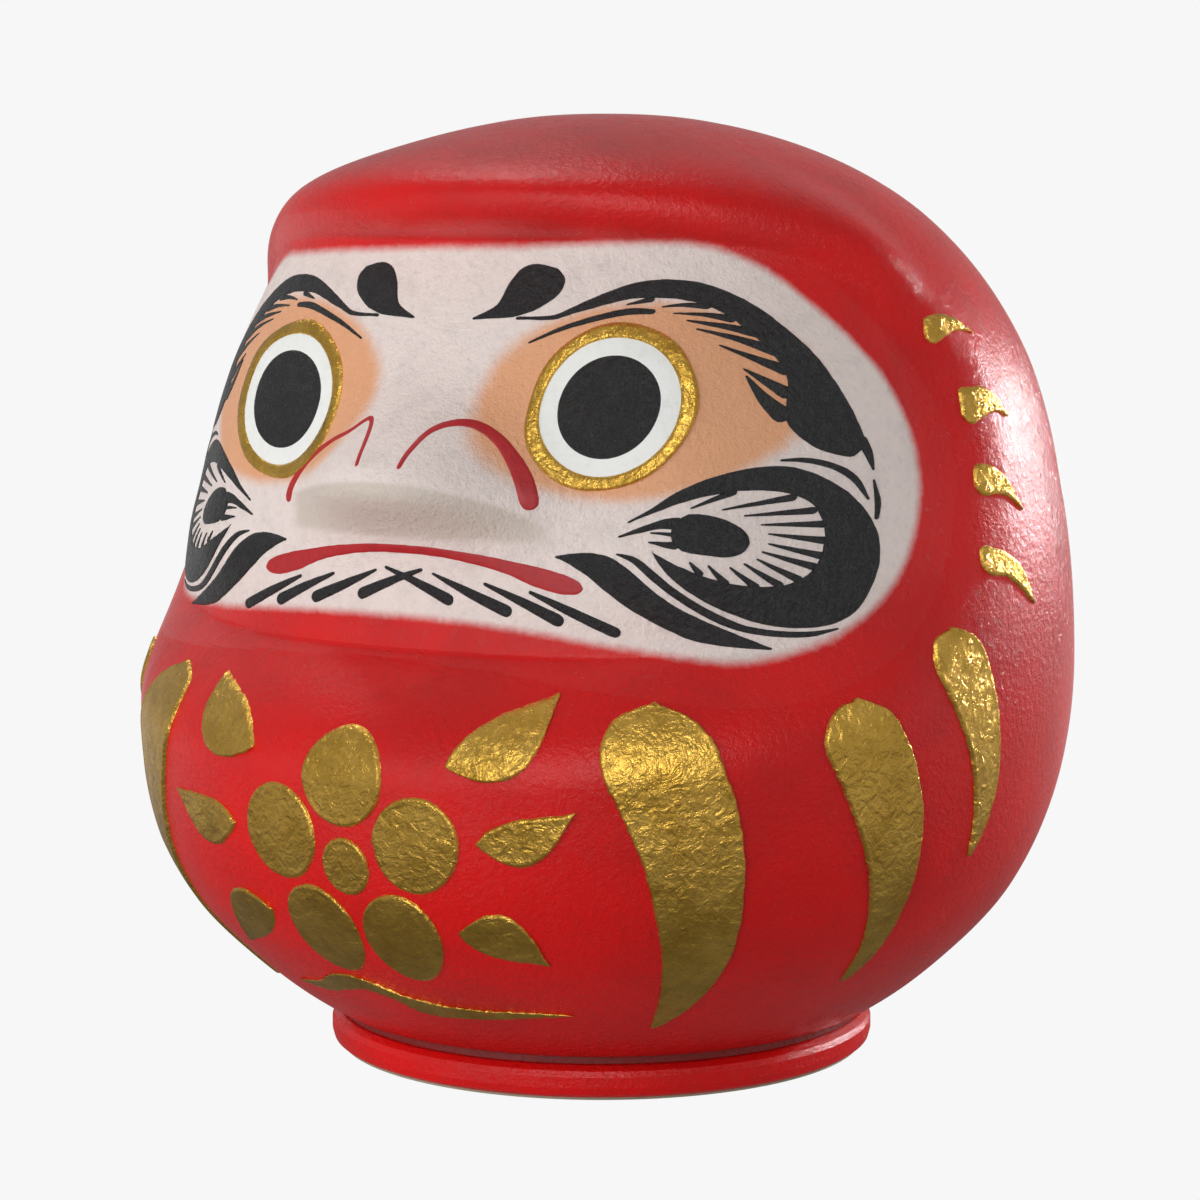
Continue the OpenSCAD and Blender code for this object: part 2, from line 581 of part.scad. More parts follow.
// Broad leaves on both sides of the blossom
module gold_leaves() {
    color(leaf) {
        leaf_dab([-17, 56], [-36, 65], 4.2, 2);
        leaf_dab([-22, 44], [-40, 47], 3.8, 2);
        leaf_dab([-18, 31], [-35, 23], 4, -2);
        leaf_dab([19, 56], [36, 66], 4.4, -2);
        leaf_dab([24, 45], [39, 50], 3.6, -2);
        leaf_dab([20, 31], [35, 26], 3.8, 2);
    }
}

// Long wavy brush line low on the belly
module gold_wave() {
    edges = [
        [-22, 16.9, -22, 16.6], [-15, 18.2, -15, 16.2], [-9, 20.6, -10, 17.2], [-3.6, 20.6, -5, 18.2],
        [2, 18.4, -0.6, 17.2], [8, 17.2, 4, 14.9], [15, 16.9, 13, 14.8], [21, 17, 21, 15.6],
        [28, 16.8, 28, 16.5]
    ];
    color(leaf) stroke(edges, on_body, gold_base, gold_t);
}

body_shell();
back_seam_strip();
closing_disc();
foot_ring();
bottom_paper();
clay_weight();
face_coat();
eye_white(1);  // eye_white_left
eye_white(-1);  // eye_white_right
eye_ring(1);  // eye_ring_left
eye_ring(-1);  // eye_ring_right
pupil(1);  // pupil_left
pupil(-1);  // pupil_right
brow_drop(1);  // brow_drop_left
brow_drop(-1);  // brow_drop_right
brow(1);  // brow_left
brow(-1);  // brow_right
lid_line(1);  // lid_line_left
lid_line(-1);  // lid_line_right
nose_line(1);  // nose_line_left
nose_line(-1);  // nose_line_right
mouth();
whisker(1);  // whisker_left
whisker(-1);  // whisker_right
whisker_eye(1);  // whisker_eye_left
whisker_eye(-1);  // whisker_eye_right
moustache(1);  // moustache_left
moustache(-1);  // moustache_right
jaw_line(1);  // jaw_line_left
jaw_line(-1);  // jaw_line_right
chin_strokes(1);  // chin_strokes_left
chin_strokes(-1);  // chin_strokes_right
gold_beard(1);  // gold_beard_left
gold_beard(-1);  // gold_beard_right
gold_commas(1);  // gold_commas_left
gold_commas(-1);  // gold_commas_right
gold_blossom();
gold_blossom_heart();
gold_leaves();
gold_wave();
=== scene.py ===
"""Daruma doll: looks of the lacquered papier-mache doll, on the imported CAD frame."""

import math

import bpy
import numpy as np
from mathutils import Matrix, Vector


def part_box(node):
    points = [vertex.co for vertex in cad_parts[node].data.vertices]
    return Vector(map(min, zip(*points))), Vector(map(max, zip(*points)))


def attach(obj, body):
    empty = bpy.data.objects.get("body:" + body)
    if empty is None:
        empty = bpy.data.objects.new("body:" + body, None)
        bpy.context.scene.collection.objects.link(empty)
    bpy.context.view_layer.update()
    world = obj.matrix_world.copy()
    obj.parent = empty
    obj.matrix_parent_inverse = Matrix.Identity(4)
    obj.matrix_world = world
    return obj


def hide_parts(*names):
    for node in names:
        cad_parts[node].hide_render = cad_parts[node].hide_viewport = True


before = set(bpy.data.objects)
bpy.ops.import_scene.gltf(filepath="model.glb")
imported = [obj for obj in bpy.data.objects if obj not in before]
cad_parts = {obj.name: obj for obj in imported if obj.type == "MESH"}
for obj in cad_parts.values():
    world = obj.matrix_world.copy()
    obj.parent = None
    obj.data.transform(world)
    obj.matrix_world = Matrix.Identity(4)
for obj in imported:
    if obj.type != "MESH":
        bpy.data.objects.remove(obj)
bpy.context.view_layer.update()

MM = 0.001
ROOT = "root"

# ---------- the surface of the doll, in millimetres and degrees ----------

low_corner, high_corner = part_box("body_shell")
TOTAL_H = high_corner[2] / MM
SHELL_Z = low_corner[2] / MM
BELLY_R = 76.0
BELLY_Z = 64.0
UNDER_B = 67.0
TOP_POWER, BASE_POWER = 2.38, 2.2
# Rim of the face: inside INNER the face is at full depth, outside OUTER the round body is untouched.
# Each is half width in degrees, middle height, reach up and down in millimetres, roundness up and down.
INNER = (77.0, 97.0, 33.5, 27.0, 6.0, 3.8)
OUTER = (89.0, 95.0, 46.0, 43.0, 4.0, 2.8)
HOOD = (76.0, 99.0, 34.0, 29.0, 4.2, 2.8)
# Radius at which degrees round the face are turned into millimetres
RIM_R = 68
NOSE_OUT, NOSE_Z = 12.0, 95
ROUNDING = (-2.0, -1.2, -0.4, 0.4, 1.2, 2.0)


def sin(a):
    return np.sin(np.radians(a))


def cos(a):
    return np.cos(np.radians(a))


def smooth(t):
    t = np.clip(t, 0, 1)
    return t * t * (3 - 2 * t)


def bump(d, w, n=2):
    return np.exp(-np.power(np.abs(d) / w, n))


def table(z, *pairs):
    """Value looked up between pairs, with the corners rounded over a few millimetres."""
    keys, values = zip(*pairs)
    return sum(np.interp(z + step, keys, values) for step in ROUNDING) / len(ROUNDING)


def swell(z):
    return table(z, (9, 0), (17, -0.2), (26, 0.7), (34, 0.6), (50, -0.2), (92, -1), (112, 0), (136, 0),
                 (142, -0.7), (148, -2))


def lean(z):
    return table(z, (8, 0), (24, -0.4), (34, -0.4), (50, 1.2), (64, 1.8), (125, 1.8), (140, 1.2), (150, 1.2))


def body_r(z):
    up = z >= BELLY_Z
    n = np.where(up, TOP_POWER, BASE_POWER)
    b = np.where(up, TOTAL_H - BELLY_Z, UNDER_B)
    rest = np.clip(1 - (np.abs(z - BELLY_Z) / b) ** n, 0, 1)
    return BELLY_R * rest ** (1 / n) + swell(z)


def body_ring(a):
    up = a >= 0
    n = np.where(up, TOP_POWER, BASE_POWER)
    b = np.where(up, TOTAL_H - BELLY_Z, UNDER_B)
    r = ((np.abs(cos(a)) / BELLY_R) ** n + (np.abs(sin(a)) / b) ** n) ** (-1 / n)
    z = BELLY_Z + r * sin(a)
    return r * cos(a) + swell(z) * np.minimum(1, r * cos(a) / 20), z


def rim_distance(t, z, rim):
    """Millimetres outside a rim, and how upright the way to it is."""
    half, mid, up, down, n_up, n_down = rim
    n = np.where(z > mid, n_up, n_down)
    h = np.where(z > mid, up, down)
    w = math.radians(half) * RIM_R
    u, v = np.abs(t) / half, np.abs(z - mid) / h
    q = np.maximum(0.001, (u ** n + v ** n) ** (1 / n))
    gu, gv = u ** (n - 1) / w, v ** (n - 1) / h
    g = np.maximum(1e-6, np.hypot(gu, gv))
    return (q - 1) * q ** (n - 1) / g, (gv / g) ** 2


def face_share(t, z):
    beyond, upright = rim_distance(t, z, INNER)
    inside = -rim_distance(t, z, OUTER)[0]
    s = np.clip(inside / np.maximum(0.01, inside + np.maximum(0, beyond)), 0, 1)
    s = np.where(beyond <= 0, 1, s)
    return s * s * upright + smooth(s) * (1 - upright)


def face_side(z):
    return table(z, (60, 74.2), (75, 73.6), (85, 72), (95, 69.7), (104, 66.9), (111, 64.4), (117, 61.4),
                 (123, 58.1), (128, 56.2), (133, 54), (140, 47))


def face_front(z):
    return table(z, (60, 57.5), (84, 54.6), (90, 52.3), (104, 49.4), (119, 44.8), (127, 41.6),
                 (131, 41.2), (140, 38))


def face_r(t, z):
    eye = 2.2 * bump(np.abs(t) - 42, 12) * smooth((z - 72) / 12) * smooth((122 - z) / 10)
    return 1 / np.hypot(sin(t) / face_side(z), cos(t) / face_front(z)) + eye


def nose(x, z):
    w = table(z, (88, 21), (92, 20), (98, 16), (108, 13))
    return NOSE_OUT * bump(x, w, 2.6) * bump(z - NOSE_Z, np.where(z > NOSE_Z, 9.5, 7.5))


def hood_rim(t, z):
    dist, upright = rim_distance(t, z, HOOD)
    rim = 3.6 * upright * bump(dist - 8, 5) * smooth((z - 100) / 30) * smooth((cos(t) + 0.3) / 0.3)
    return np.where(np.abs(t) > 107, 0, rim)


def plan_r(t, z, rho):
    m = face_share(t, z)
    return rho * (1 - m) + np.minimum(rho, face_r(t, z)) * m + hood_rim(t, z)


def skin_at(t, z, rho, d):
    m = face_share(t, z)
    r = plan_r(t, z, rho) + d
    x = r * sin(t)
    return np.stack([x, lean(z) * (1 - m) - r * cos(t) - m * nose(x, z), z + 0 * x], -1)


def angle_of(x, z, rho):
    low, high = np.zeros_like(x), np.full_like(x, 88.0)
    for _ in range(20):
        mid = (low + high) / 2
        inside = plan_r(mid, z, rho) * sin(mid) < x
        low, high = np.where(inside, mid, low), np.where(inside, high, mid)
    return (low + high) / 2


def on_body(p, d):
    return skin_at(p[..., 0], p[..., 1], body_r(p[..., 1]), d)


def on_face(p, d):
    x, z = p[..., 0], p[..., 1]
    rho = body_r(z)
    return skin_at(np.sign(x) * angle_of(np.abs(x), z, rho), z, rho, d)


# ---------- meshes ----------

def add_mesh(name, points, faces, material, nodes, attributes=None):
    """A piece from points in millimetres. It rides on the root body and stands for CAD nodes."""
    mesh = bpy.data.meshes.new(name)
    points = np.asarray(points, dtype=np.float64).reshape(-1, 3) * MM
    faces = [f if isinstance(f, np.ndarray) else np.asarray(f) for f in faces]
    quads = np.concatenate([f for f in faces if f.size and f.shape[1] == 4]) if any(
        f.size and f.shape[1] == 4 for f in faces) else np.zeros((0, 4), int)
    tris = np.concatenate([f for f in faces if f.size and f.shape[1] == 3]) if any(
        f.size and f.shape[1] == 3 for f in faces) else np.zeros((0, 3), int)
    corners = np.concatenate([quads.ravel(), tris.ravel()]).astype(np.int32)
    starts = np.concatenate([np.arange(len(quads)) * 4, len(quads) * 4 + np.arange(len(tris)) * 3])
    mesh.vertices.add(len(points))
    mesh.vertices.foreach_set("co", points.astype(np.float32).ravel())
    mesh.loops.add(len(corners))
    mesh.loops.foreach_set("vertex_index", corners)
    mesh.polygons.add(len(starts))
    mesh.polygons.foreach_set("loop_start", starts.astype(np.int32))
    mesh.polygons.foreach_set("use_smooth", np.ones(len(starts), dtype=bool))
    for key, values in (attributes or {}).items():
        layer = mesh.attributes.new(key, "FLOAT", "POINT")
        layer.data.foreach_set("value", np.asarray(values, dtype=np.float32).ravel())
    mesh.update(calc_edges=True)
    mesh.validate()
    obj = bpy.data.objects.new(name, mesh)
    bpy.context.collection.objects.link(obj)
    mesh.materials.append(material)
    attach(obj, ROOT)
    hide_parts(*nodes)
    return obj


def grid_faces(rows, cols, first=0, loop=False):
    """Quads of a grid of points, counter-clockwise where rows run right and columns run up."""
    i, j = np.meshgrid(np.arange(rows if loop else rows - 1), np.arange(cols - 1), indexing="ij")
    k = (i + 1) % rows
    quads = np.stack([i * cols + j, k * cols + j, k * cols + j + 1, i * cols + j + 1], -1)
    return (first + quads).reshape(-1, 4)


def through(p, s):
    """Smooth curve through a list of stations, s counted in stations."""
    p = np.asarray(p, float)
    i = np.minimum(np.floor(s).astype(int), len(p) - 2)
    t = (s - i)[:, None]
    a, b, c, d = (p[np.clip(i + k, 0, len(p) - 1)] for k in (-1, 0, 1, 2))
    return 0.5 * (2 * b + (c - a) * t + (2 * a - 5 * b + 4 * c - d) * t * t
                  + (3 * b - a - 3 * c + d) * t ** 3)


class Skin:
    """Collects thin raised patches into one piece."""

    def __init__(self):
        self.points, self.faces, self.count = [], [], 0

    def add(self, p, d_grid, place, mirror=False, loop=False):
        """p is a grid (rows, cols, 2) in drawing coordinates, and d_grid the height of each point over
        the skin. A skirt drops from the border to just under the surface."""
        rows, cols = p.shape[:2]
        area = np.sum((p[1:, :-1, 0] - p[:-1, :-1, 0]) * (p[:-1, 1:, 1] - p[:-1, :-1, 1])
                      - (p[1:, :-1, 1] - p[:-1, :-1, 1]) * (p[:-1, 1:, 0] - p[:-1, :-1, 0]))
        flip = area < 0
        top = place(p, d_grid)
        if mirror:
            top = top * [-1, 1, 1]
            flip = not flip
        faces = grid_faces(rows, cols, 0, loop)
        edge = ([0 + c for c in range(cols)] + [r * cols + cols - 1 for r in range(1, rows)]
                + [(rows - 1) * cols + c for c in range(cols - 2, -1, -1)]
                + [r * cols for r in range(rows - 2, 0, -1)])
        rims = [edge]
        if loop:
            rims = [[r * cols for r in range(rows)], [r * cols + cols - 1 for r in range(rows - 1, -1, -1)]]
        flat = top.reshape(-1, 3)
        base = place(p, np.full(p.shape[:2], SINK))
        base = (base * [-1, 1, 1] if mirror else base).reshape(-1, 3)
        points = [flat]
        all_faces = [faces]
        n = len(flat)
        for rim in rims:
            rim = np.array(rim)
            nxt = np.roll(np.arange(len(rim)), -1)
            points += [flat[rim], base[rim]]
            a = n + np.arange(len(rim))
            b = a + len(rim)
            side = np.stack([a, b, b[nxt], a[nxt]], -1)
            all_faces.append(side if not loop else side[:, ::-1])
            n += 2 * len(rim)
        f = np.concatenate(all_faces)
        self.faces.append((f[:, ::-1] if flip else f) + self.count)
        self.points.append(np.concatenate(points))
        self.count += n

    def piece(self, name, material, nodes):
        return add_mesh(name, np.concatenate(self.points), self.faces, material, nodes)


SINK = -0.15
# Spacing of the points of a stroke along and across, in millimetres
STROKE_STEP, STROKE_ACROSS = 0.7, 0.5


def wavy(s, seed, size, pitch):
    """Smooth repeatable unevenness along s."""
    local = np.random.default_rng(seed)
    out = np.zeros_like(s)
    for k in range(5):
        turn = s * (2 * math.pi / pitch) * (0.6 + 0.45 * k) + local.uniform(0, 6.28)
        out += np.sin(turn) * local.uniform(0.4, 1)
    return out * size / 3


def dome(v, soft):
    """Height across a patch, from 0 on its edges to 1, with edges rounded over the share soft."""
    e = np.clip(np.minimum(v, 1 - v) / soft, 0, 1)
    return np.sqrt(np.clip(1 - (1 - e) ** 2, 0, 1))


def stroke(skin, edges, place, base, thick, mirror=False, soft=0.45, bead=0.0, rough=0.05, seed=1):
    """Brush stroke between two edges. edges is a list of [edge a x, z, edge b x, z]."""
    edges = np.asarray(edges, float)
    per_x = DEGREE if place is on_body else 1.0
    mid = np.stack([(edges[:, 0] + edges[:, 2]) / 2 * per_x, (edges[:, 1] + edges[:, 3]) / 2], -1)
    length = np.sum(np.hypot(*np.diff(mid, axis=0).T))
    width = np.max(np.hypot((edges[:, 0] - edges[:, 2]) * per_x, edges[:, 1] - edges[:, 3]))
    rows = max(8, int(length / STROKE_STEP))
    cols = max(7, int(width / STROKE_ACROSS) | 1)
    u = np.linspace(0, 1, rows)
    u = np.sort(np.concatenate([u, [0.15 * u[1], 0.5 * u[1], 1 - 0.5 * u[1], 1 - 0.15 * u[1]]]))
    rows = len(u)
    e = through(edges, u * (len(edges) - 1))
    uneven = [wavy(u * length, seed + k, rough / (per_x if k in (0, 2) else 1), 5) for k in range(4)]
    e = e + np.stack(uneven, -1)
    # ends are rounded off over half the local width
    centre = (e[:, :2] + e[:, 2:]) / 2
    run = np.hypot(*np.diff(centre * [per_x, 1], axis=0).T)
    along = np.concatenate([[0], np.cumsum(run)])
    half = np.hypot((e[:, 0] - e[:, 2]) * per_x, e[:, 1] - e[:, 3]) / 2
    from_end = np.minimum(along, along[-1] - along)
    tail = max(2, rows // 12)
    near_half = np.where(along < along[-1] / 2, np.max(half[:tail]), np.max(half[-tail:]))
    k = np.clip(from_end / np.maximum(0.05, near_half), 0.02, 1)
    cut = np.sqrt(1 - (1 - k) ** 2)[:, None]
    e = np.concatenate([centre + (e[:, :2] - centre) * cut, centre + (e[:, 2:] - centre) * cut], 1)
    # columns gather at the edges, where the relief is
    v = 0.5 - 0.5 * np.cos(np.linspace(0, math.pi, cols))
    v = 0.5 * v + 0.5 * np.linspace(0, 1, cols)
    p = np.stack([e[:, 2:3] * (1 - v) + e[:, 0:1] * v, e[:, 3:4] * (1 - v) + e[:, 1:2] * v], -1)
    wide = np.maximum(0.1, np.hypot((e[:, 0] - e[:, 2]) * per_x, e[:, 1] - e[:, 3]))[:, None]
    h = dome(v[None, :], np.minimum(0.5, soft / wide))
    ends = dome(u, min(0.5, soft / length))[:, None]
    edge_mm = np.minimum(v, 1 - v)[None, :] * wide
    h = h * ends + bead * bump(edge_mm - 0.45, 0.3) * ends
    skin.add(p, base + thick * h, place, mirror)


def hair_edges(line):
    line = np.asarray(line, float)
    run = np.gradient(line[:, :2], axis=0)
    side = np.stack([-run[:, 1], run[:, 0]], -1) / np.linalg.norm(run, axis=1)[:, None] * line[:, 2:3]
    return np.concatenate([line[:, :2] + side, line[:, :2] - side], 1)


def hair(skin, line, place, base, thick, mirror=False, seed=1):
    """Fine stroke along a centre line of [x, z, half width]."""
    fine = through(line, np.linspace(0, len(line) - 1, 4 * len(line)))
    stroke(skin, hair_edges(fine), place, base, thick, mirror, soft=0.35, rough=0.02, seed=seed)


def disc_grid(cells):
    a, b = np.meshgrid(np.linspace(-1, 1, cells), np.linspace(-1, 1, cells), indexing="ij")
    return a * np.sqrt(1 - b * b / 2), b * np.sqrt(1 - a * a / 2)


def patch(skin, centre, size, place, base, thick, cells, mirror=False, soft=0.5, wobble=0.01, seed=1,
          bead=0.0):
    x, y = disc_grid(cells)
    r = np.hypot(x, y)
    angle = np.arctan2(y, x)
    grow = 1 + wavy(angle / (2 * math.pi) * 6.0, seed, wobble, 6.0) * r
    p = np.stack([centre[0] + size[0] * x * grow, centre[1] + size[1] * y * grow], -1)
    depth = (1 - r) * size[1]
    e = np.clip(depth / soft, 0, 1)
    h = np.sqrt(np.clip(1 - (1 - e) ** 2, 0, 1)) + bead * bump(depth - 0.45, 0.3)
    skin.add(p, base + thick * h, place, mirror)


def band(skin, centre, inner, outer, place, base, thick, mirror=False, seed=1):
    cells, cols = 180, 9
    a = np.linspace(0, 360, cells, endpoint=False)
    turns = np.radians(a)
    grow_in = 1 + 0.006 * np.sin(turns * 2 + seed) + 0.004 * np.sin(turns * 5 + 2 * seed)
    grow_out = 1 + 0.010 * np.sin(turns * 3 + seed) + 0.006 * np.sin(turns * 7 + seed)
    v = np.linspace(0, 1, cols)
    sx = (inner[0] * grow_in)[:, None] * (1 - v) + (outer[0] * grow_out)[:, None] * v
    sy = (inner[1] * grow_in)[:, None] * (1 - v) + (outer[1] * grow_out)[:, None] * v
    p = np.stack([centre[0] + sx * cos(a)[:, None], centre[1] + sy * sin(a)[:, None]], -1)
    h = dome(v[None, :], 0.3) * np.ones((cells, 1))
    skin.add(p[::-1], (base + thick * h), place, mirror, loop=True)


# ---------- materials ----------

def new_material(name):
    m = bpy.data.materials.new(name)
    m.use_nodes = True
    nt = m.node_tree
    nt.nodes.clear()
    out = nt.nodes.new("ShaderNodeOutputMaterial")
    bsdf = nt.nodes.new("ShaderNodeBsdfPrincipled")
    nt.links.new(bsdf.outputs[0], out.inputs[0])
    return m, nt, bsdf


def coords(nt, scale=(1, 1, 1)):
    tex = nt.nodes.new("ShaderNodeTexCoord")
    mapping = nt.nodes.new("ShaderNodeMapping")
    mapping.inputs["Scale"].default_value = scale
    nt.links.new(tex.outputs["Object"], mapping.inputs["Vector"])
    return mapping.outputs[0]


def noise(nt, vector, per_mm, detail=4.0, rough=0.55, distortion=0.0):
    n = nt.nodes.new("ShaderNodeTexNoise")
    n.inputs["Scale"].default_value = per_mm / MM
    n.inputs["Detail"].default_value = detail
    n.inputs["Roughness"].default_value = rough
    n.inputs["Distortion"].default_value = distortion
    nt.links.new(vector, n.inputs["Vector"])
    return n.outputs[0]


def ramp(nt, value, low, high, a=0.0, b=1.0):
    r = nt.nodes.new("ShaderNodeMapRange")
    r.interpolation_type = "SMOOTHSTEP"
    r.inputs["From Min"].default_value = low
    r.inputs["From Max"].default_value = high
    r.inputs["To Min"].default_value = a
    r.inputs["To Max"].default_value = b
    nt.links.new(value, r.inputs["Value"])
    return r.outputs[0]


def maths(nt, op, a, b):
    n = nt.nodes.new("ShaderNodeMath")
    n.operation = op
    for socket, value in zip(n.inputs, (a, b)):
        if isinstance(value, (int, float)):
            socket.default_value = value
        else:
            nt.links.new(value, socket)
    return n.outputs[0]


def mix(nt, factor, a, b, mode="MIX"):
    n = nt.nodes.new("ShaderNodeMix")
    n.data_type = "RGBA"
    n.blend_type = mode
    for socket, value in ((n.inputs[0], factor), (n.inputs[6], a), (n.inputs[7], b)):
        if isinstance(value, (int, float)):
            socket.default_value = value
        elif isinstance(value, tuple):
            socket.default_value = (*value, 1.0)
        else:
            nt.links.new(value, socket)
    return n.outputs[2]


def attribute(nt, name):
    a = nt.nodes.new("ShaderNodeAttribute")
    a.attribute_name = name
    return a.outputs["Fac"]


def bump_node(nt, height, distance_mm, strength=1.0, normal=None):
    b = nt.nodes.new("ShaderNodeBump")
    b.inputs["Strength"].default_value = strength
    b.inputs["Distance"].default_value = distance_mm * MM
    nt.links.new(height, b.inputs["Height"])
    if normal is not None:
        nt.links.new(normal, b.inputs["Normal"])
    return b.outputs[0]


RED = (0.64, 0.004, 0.004)
RED_DEEP = (0.34, 0.006, 0.006)
WHITE = (0.77, 0.66, 0.62)
WHITE_GREY = (0.60, 0.52, 0.49)
ORANGE = (0.73, 0.33, 0.15)
# Band under the nose: partly a beige-grey tint of paint, partly painted shade where the nose overhangs
NOSE_UNDER_TINT_AND_SHADE = (0.60, 0.52, 0.455)


# Depth of the paper tooth, in millimetres, under the lacquer and under the white paint
GRAIN = 0.21
FACE_GRAIN = 0.32


def paper_grain(nt, vector):
    """Fine papery relief under the lacquer: pits about a millimetre across and a finer tooth."""
    coarse = noise(nt, vector, 0.9, 3.0, 0.6)
    fine = noise(nt, vector, 3.2, 3.0, 0.6)
    return maths(nt, "ADD", coarse, maths(nt, "MULTIPLY", fine, 0.4))


def lacquer_colour(nt, vector):
    blotch = ramp(nt, noise(nt, vector, 0.05, 5.0, 0.6), 0.35, 0.75)
    colour = mix(nt, maths(nt, "MULTIPLY", blotch, 0.45), RED, RED_DEEP)
    speck = ramp(nt, noise(nt, vector, 0.6, 4.0, 0.7), 0.56, 0.8)
    return mix(nt, maths(nt, "MULTIPLY", speck, 0.35), colour, RED_DEEP)


def lacquer_roughness(nt, vector):
    return ramp(nt, noise(nt, vector, 0.4, 4.0), 0.3, 0.7, 0.20, 0.28)


def finish_lacquer(nt, bsdf, vector, colour):
    nt.links.new(colour, bsdf.inputs["Base Color"])
    nt.links.new(lacquer_roughness(nt, vector), bsdf.inputs["Roughness"])
    nt.links.new(bump_node(nt, paper_grain(nt, vector), GRAIN), bsdf.inputs["Normal"])
    bsdf.inputs["IOR"].default_value = 1.5
    bsdf.inputs["Specular IOR Level"].default_value = 0.35


def lacquer():
    m, nt, bsdf = new_material("red_lacquer")
    v = coords(nt)
    finish_lacquer(nt, bsdf, v, lacquer_colour(nt, v))
    return m


def face_paint():
    """Chalk white with soft orange round the eyes, meeting the sprayed red at the rim."""
    m, nt, bsdf = new_material("face_paint")
    v = coords(nt)
    cloud = ramp(nt, noise(nt, v, 0.22, 6.0, 0.65), 0.42, 0.78)
    fleck = ramp(nt, noise(nt, v, 0.75, 5.0, 0.7), 0.50, 0.72)
    mottle = maths(nt, "ADD", maths(nt, "MULTIPLY", cloud, 0.55), maths(nt, "MULTIPLY", fleck, 0.5))
    white = mix(nt, mottle, WHITE, WHITE_GREY)
    # the band under the nose: beige paint darkened further as painted shade under the nose
    white_and_nose_shade = mix(nt, attribute(nt, "band"), white, NOSE_UNDER_TINT_AND_SHADE)
    fibre = noise(nt, v, 0.5, 5.0, 0.7)
    fringe = maths(nt, "SUBTRACT", fibre, 0.5)
    orange = maths(nt, "ADD", attribute(nt, "orange"), maths(nt, "MULTIPLY", fringe, 0.5))
    orange = ramp(nt, orange, 0.05, 0.95, 0.0, 0.92)
    painted = mix(nt, orange, white_and_nose_shade, ORANGE)
    edge = maths(nt, "ADD", attribute(nt, "white"), maths(nt, "MULTIPLY", fringe, 0.35))
    edge = ramp(nt, edge, 0.1, 0.9)
    nt.links.new(mix(nt, edge, lacquer_colour(nt, v), painted), bsdf.inputs["Base Color"])
    rough = maths(nt, "ADD", lacquer_roughness(nt, v), maths(nt, "MULTIPLY", edge, 0.32))
    nt.links.new(rough, bsdf.inputs["Roughness"])
    grain = maths(nt, "MULTIPLY", paper_grain(nt, v), ramp(nt, edge, 0, 1, GRAIN, FACE_GRAIN))
    nt.links.new(bump_node(nt, grain, 1.0), bsdf.inputs["Normal"])
    bsdf.inputs["IOR"].default_value = 1.5
    bsdf.inputs["Specular IOR Level"].default_value = 0.35
    bsdf.inputs["Sheen Weight"].default_value = 0.1
    return m


def gold():
    m, nt, bsdf = new_material("gold")
    v = coords(nt)
    patchy = ramp(nt, noise(nt, v, 0.14, 6.0, 0.7), 0.3, 0.72)
    colour = mix(nt, patchy, (0.98, 0.60, 0.12), (0.70, 0.40, 0.06))
    crumb = ramp(nt, noise(nt, v, 1.6, 4.0, 0.7), 0.55, 0.75)
    colour = mix(nt, maths(nt, "MULTIPLY", crumb, 0.5), colour, (0.22, 0.12, 0.03))
    streak_v = coords(nt, (3.0, 3.0, 0.35))
    streak = ramp(nt, noise(nt, streak_v, 0.6, 2.0, 0.5, 1.0), 0.68, 0.76)
    colour = mix(nt, maths(nt, "MULTIPLY", streak, 0.6), colour, (1.0, 0.78, 0.3))
    nt.links.new(colour, bsdf.inputs["Base Color"])
    bsdf.inputs["Metallic"].default_value = 1.0
    nt.links.new(ramp(nt, noise(nt, v, 0.9, 4.0), 0.3, 0.7, 0.20, 0.38), bsdf.inputs["Roughness"])
    folds = noise(nt, v, 0.55, 3.0, 0.6, 0.8)
    tooth = maths(nt, "MULTIPLY", noise(nt, v, 4.0, 2.0), 0.15)
    nt.links.new(bump_node(nt, maths(nt, "ADD", folds, tooth), 0.5), bsdf.inputs["Normal"])
    return m


def paint(name, base, deep, rough_low, rough_high, grain):
    m, nt, bsdf = new_material(name)
    v = coords(nt)
    worn = ramp(nt, noise(nt, v, 0.5, 5.0, 0.65), 0.45, 0.8)
    nt.links.new(mix(nt, maths(nt, "MULTIPLY", worn, 0.7), base, deep), bsdf.inputs["Base Color"])
    nt.links.new(ramp(nt, noise(nt, v, 0.9, 4.0), 0.3, 0.7, rough_low, rough_high), bsdf.inputs["Roughness"])
    nt.links.new(bump_node(nt, paper_grain(nt, v), grain), bsdf.inputs["Normal"])
    bsdf.inputs["IOR"].default_value = 1.48
    return m


red_lacquer = lacquer()
face_mat = face_paint()
gold_mat = gold()
black_mat = paint("black_ink", (0.012, 0.012, 0.013), (0.030, 0.029, 0.028), 0.24, 0.36, 0.7)
red_ink = paint("red_ink", (0.42, 0.008, 0.012), (0.30, 0.008, 0.012), 0.4, 0.55, 0.12)
eye_white_mat = paint("eye_white", (0.80, 0.81, 0.78), (0.70, 0.70, 0.66), 0.4, 0.55, 0.1)
dark_board = paint("dark_board", (0.20, 0.014, 0.012), (0.12, 0.012, 0.010), 0.25, 0.4, 0.1)
kraft = paint("base_paper", (0.30, 0.24, 0.17), (0.22, 0.17, 0.12), 0.75, 0.9, 0.15)
clay_mat = paint("clay", (0.34, 0.20, 0.11), (0.22, 0.13, 0.07), 0.8, 0.95, 0.4)

# ---------- shell and face coat ----------

# Heights over the skin, in millimetres: where each layer starts and how thick it is
COAT_T = 0.12
INK_BASE, INK_T = 0.16, 0.13
RING_BASE, GOLD_T = 0.28, 0.45
GOLD_BASE = 0.0
# Millimetres round the belly in one degree
DEGREE = math.radians(78)
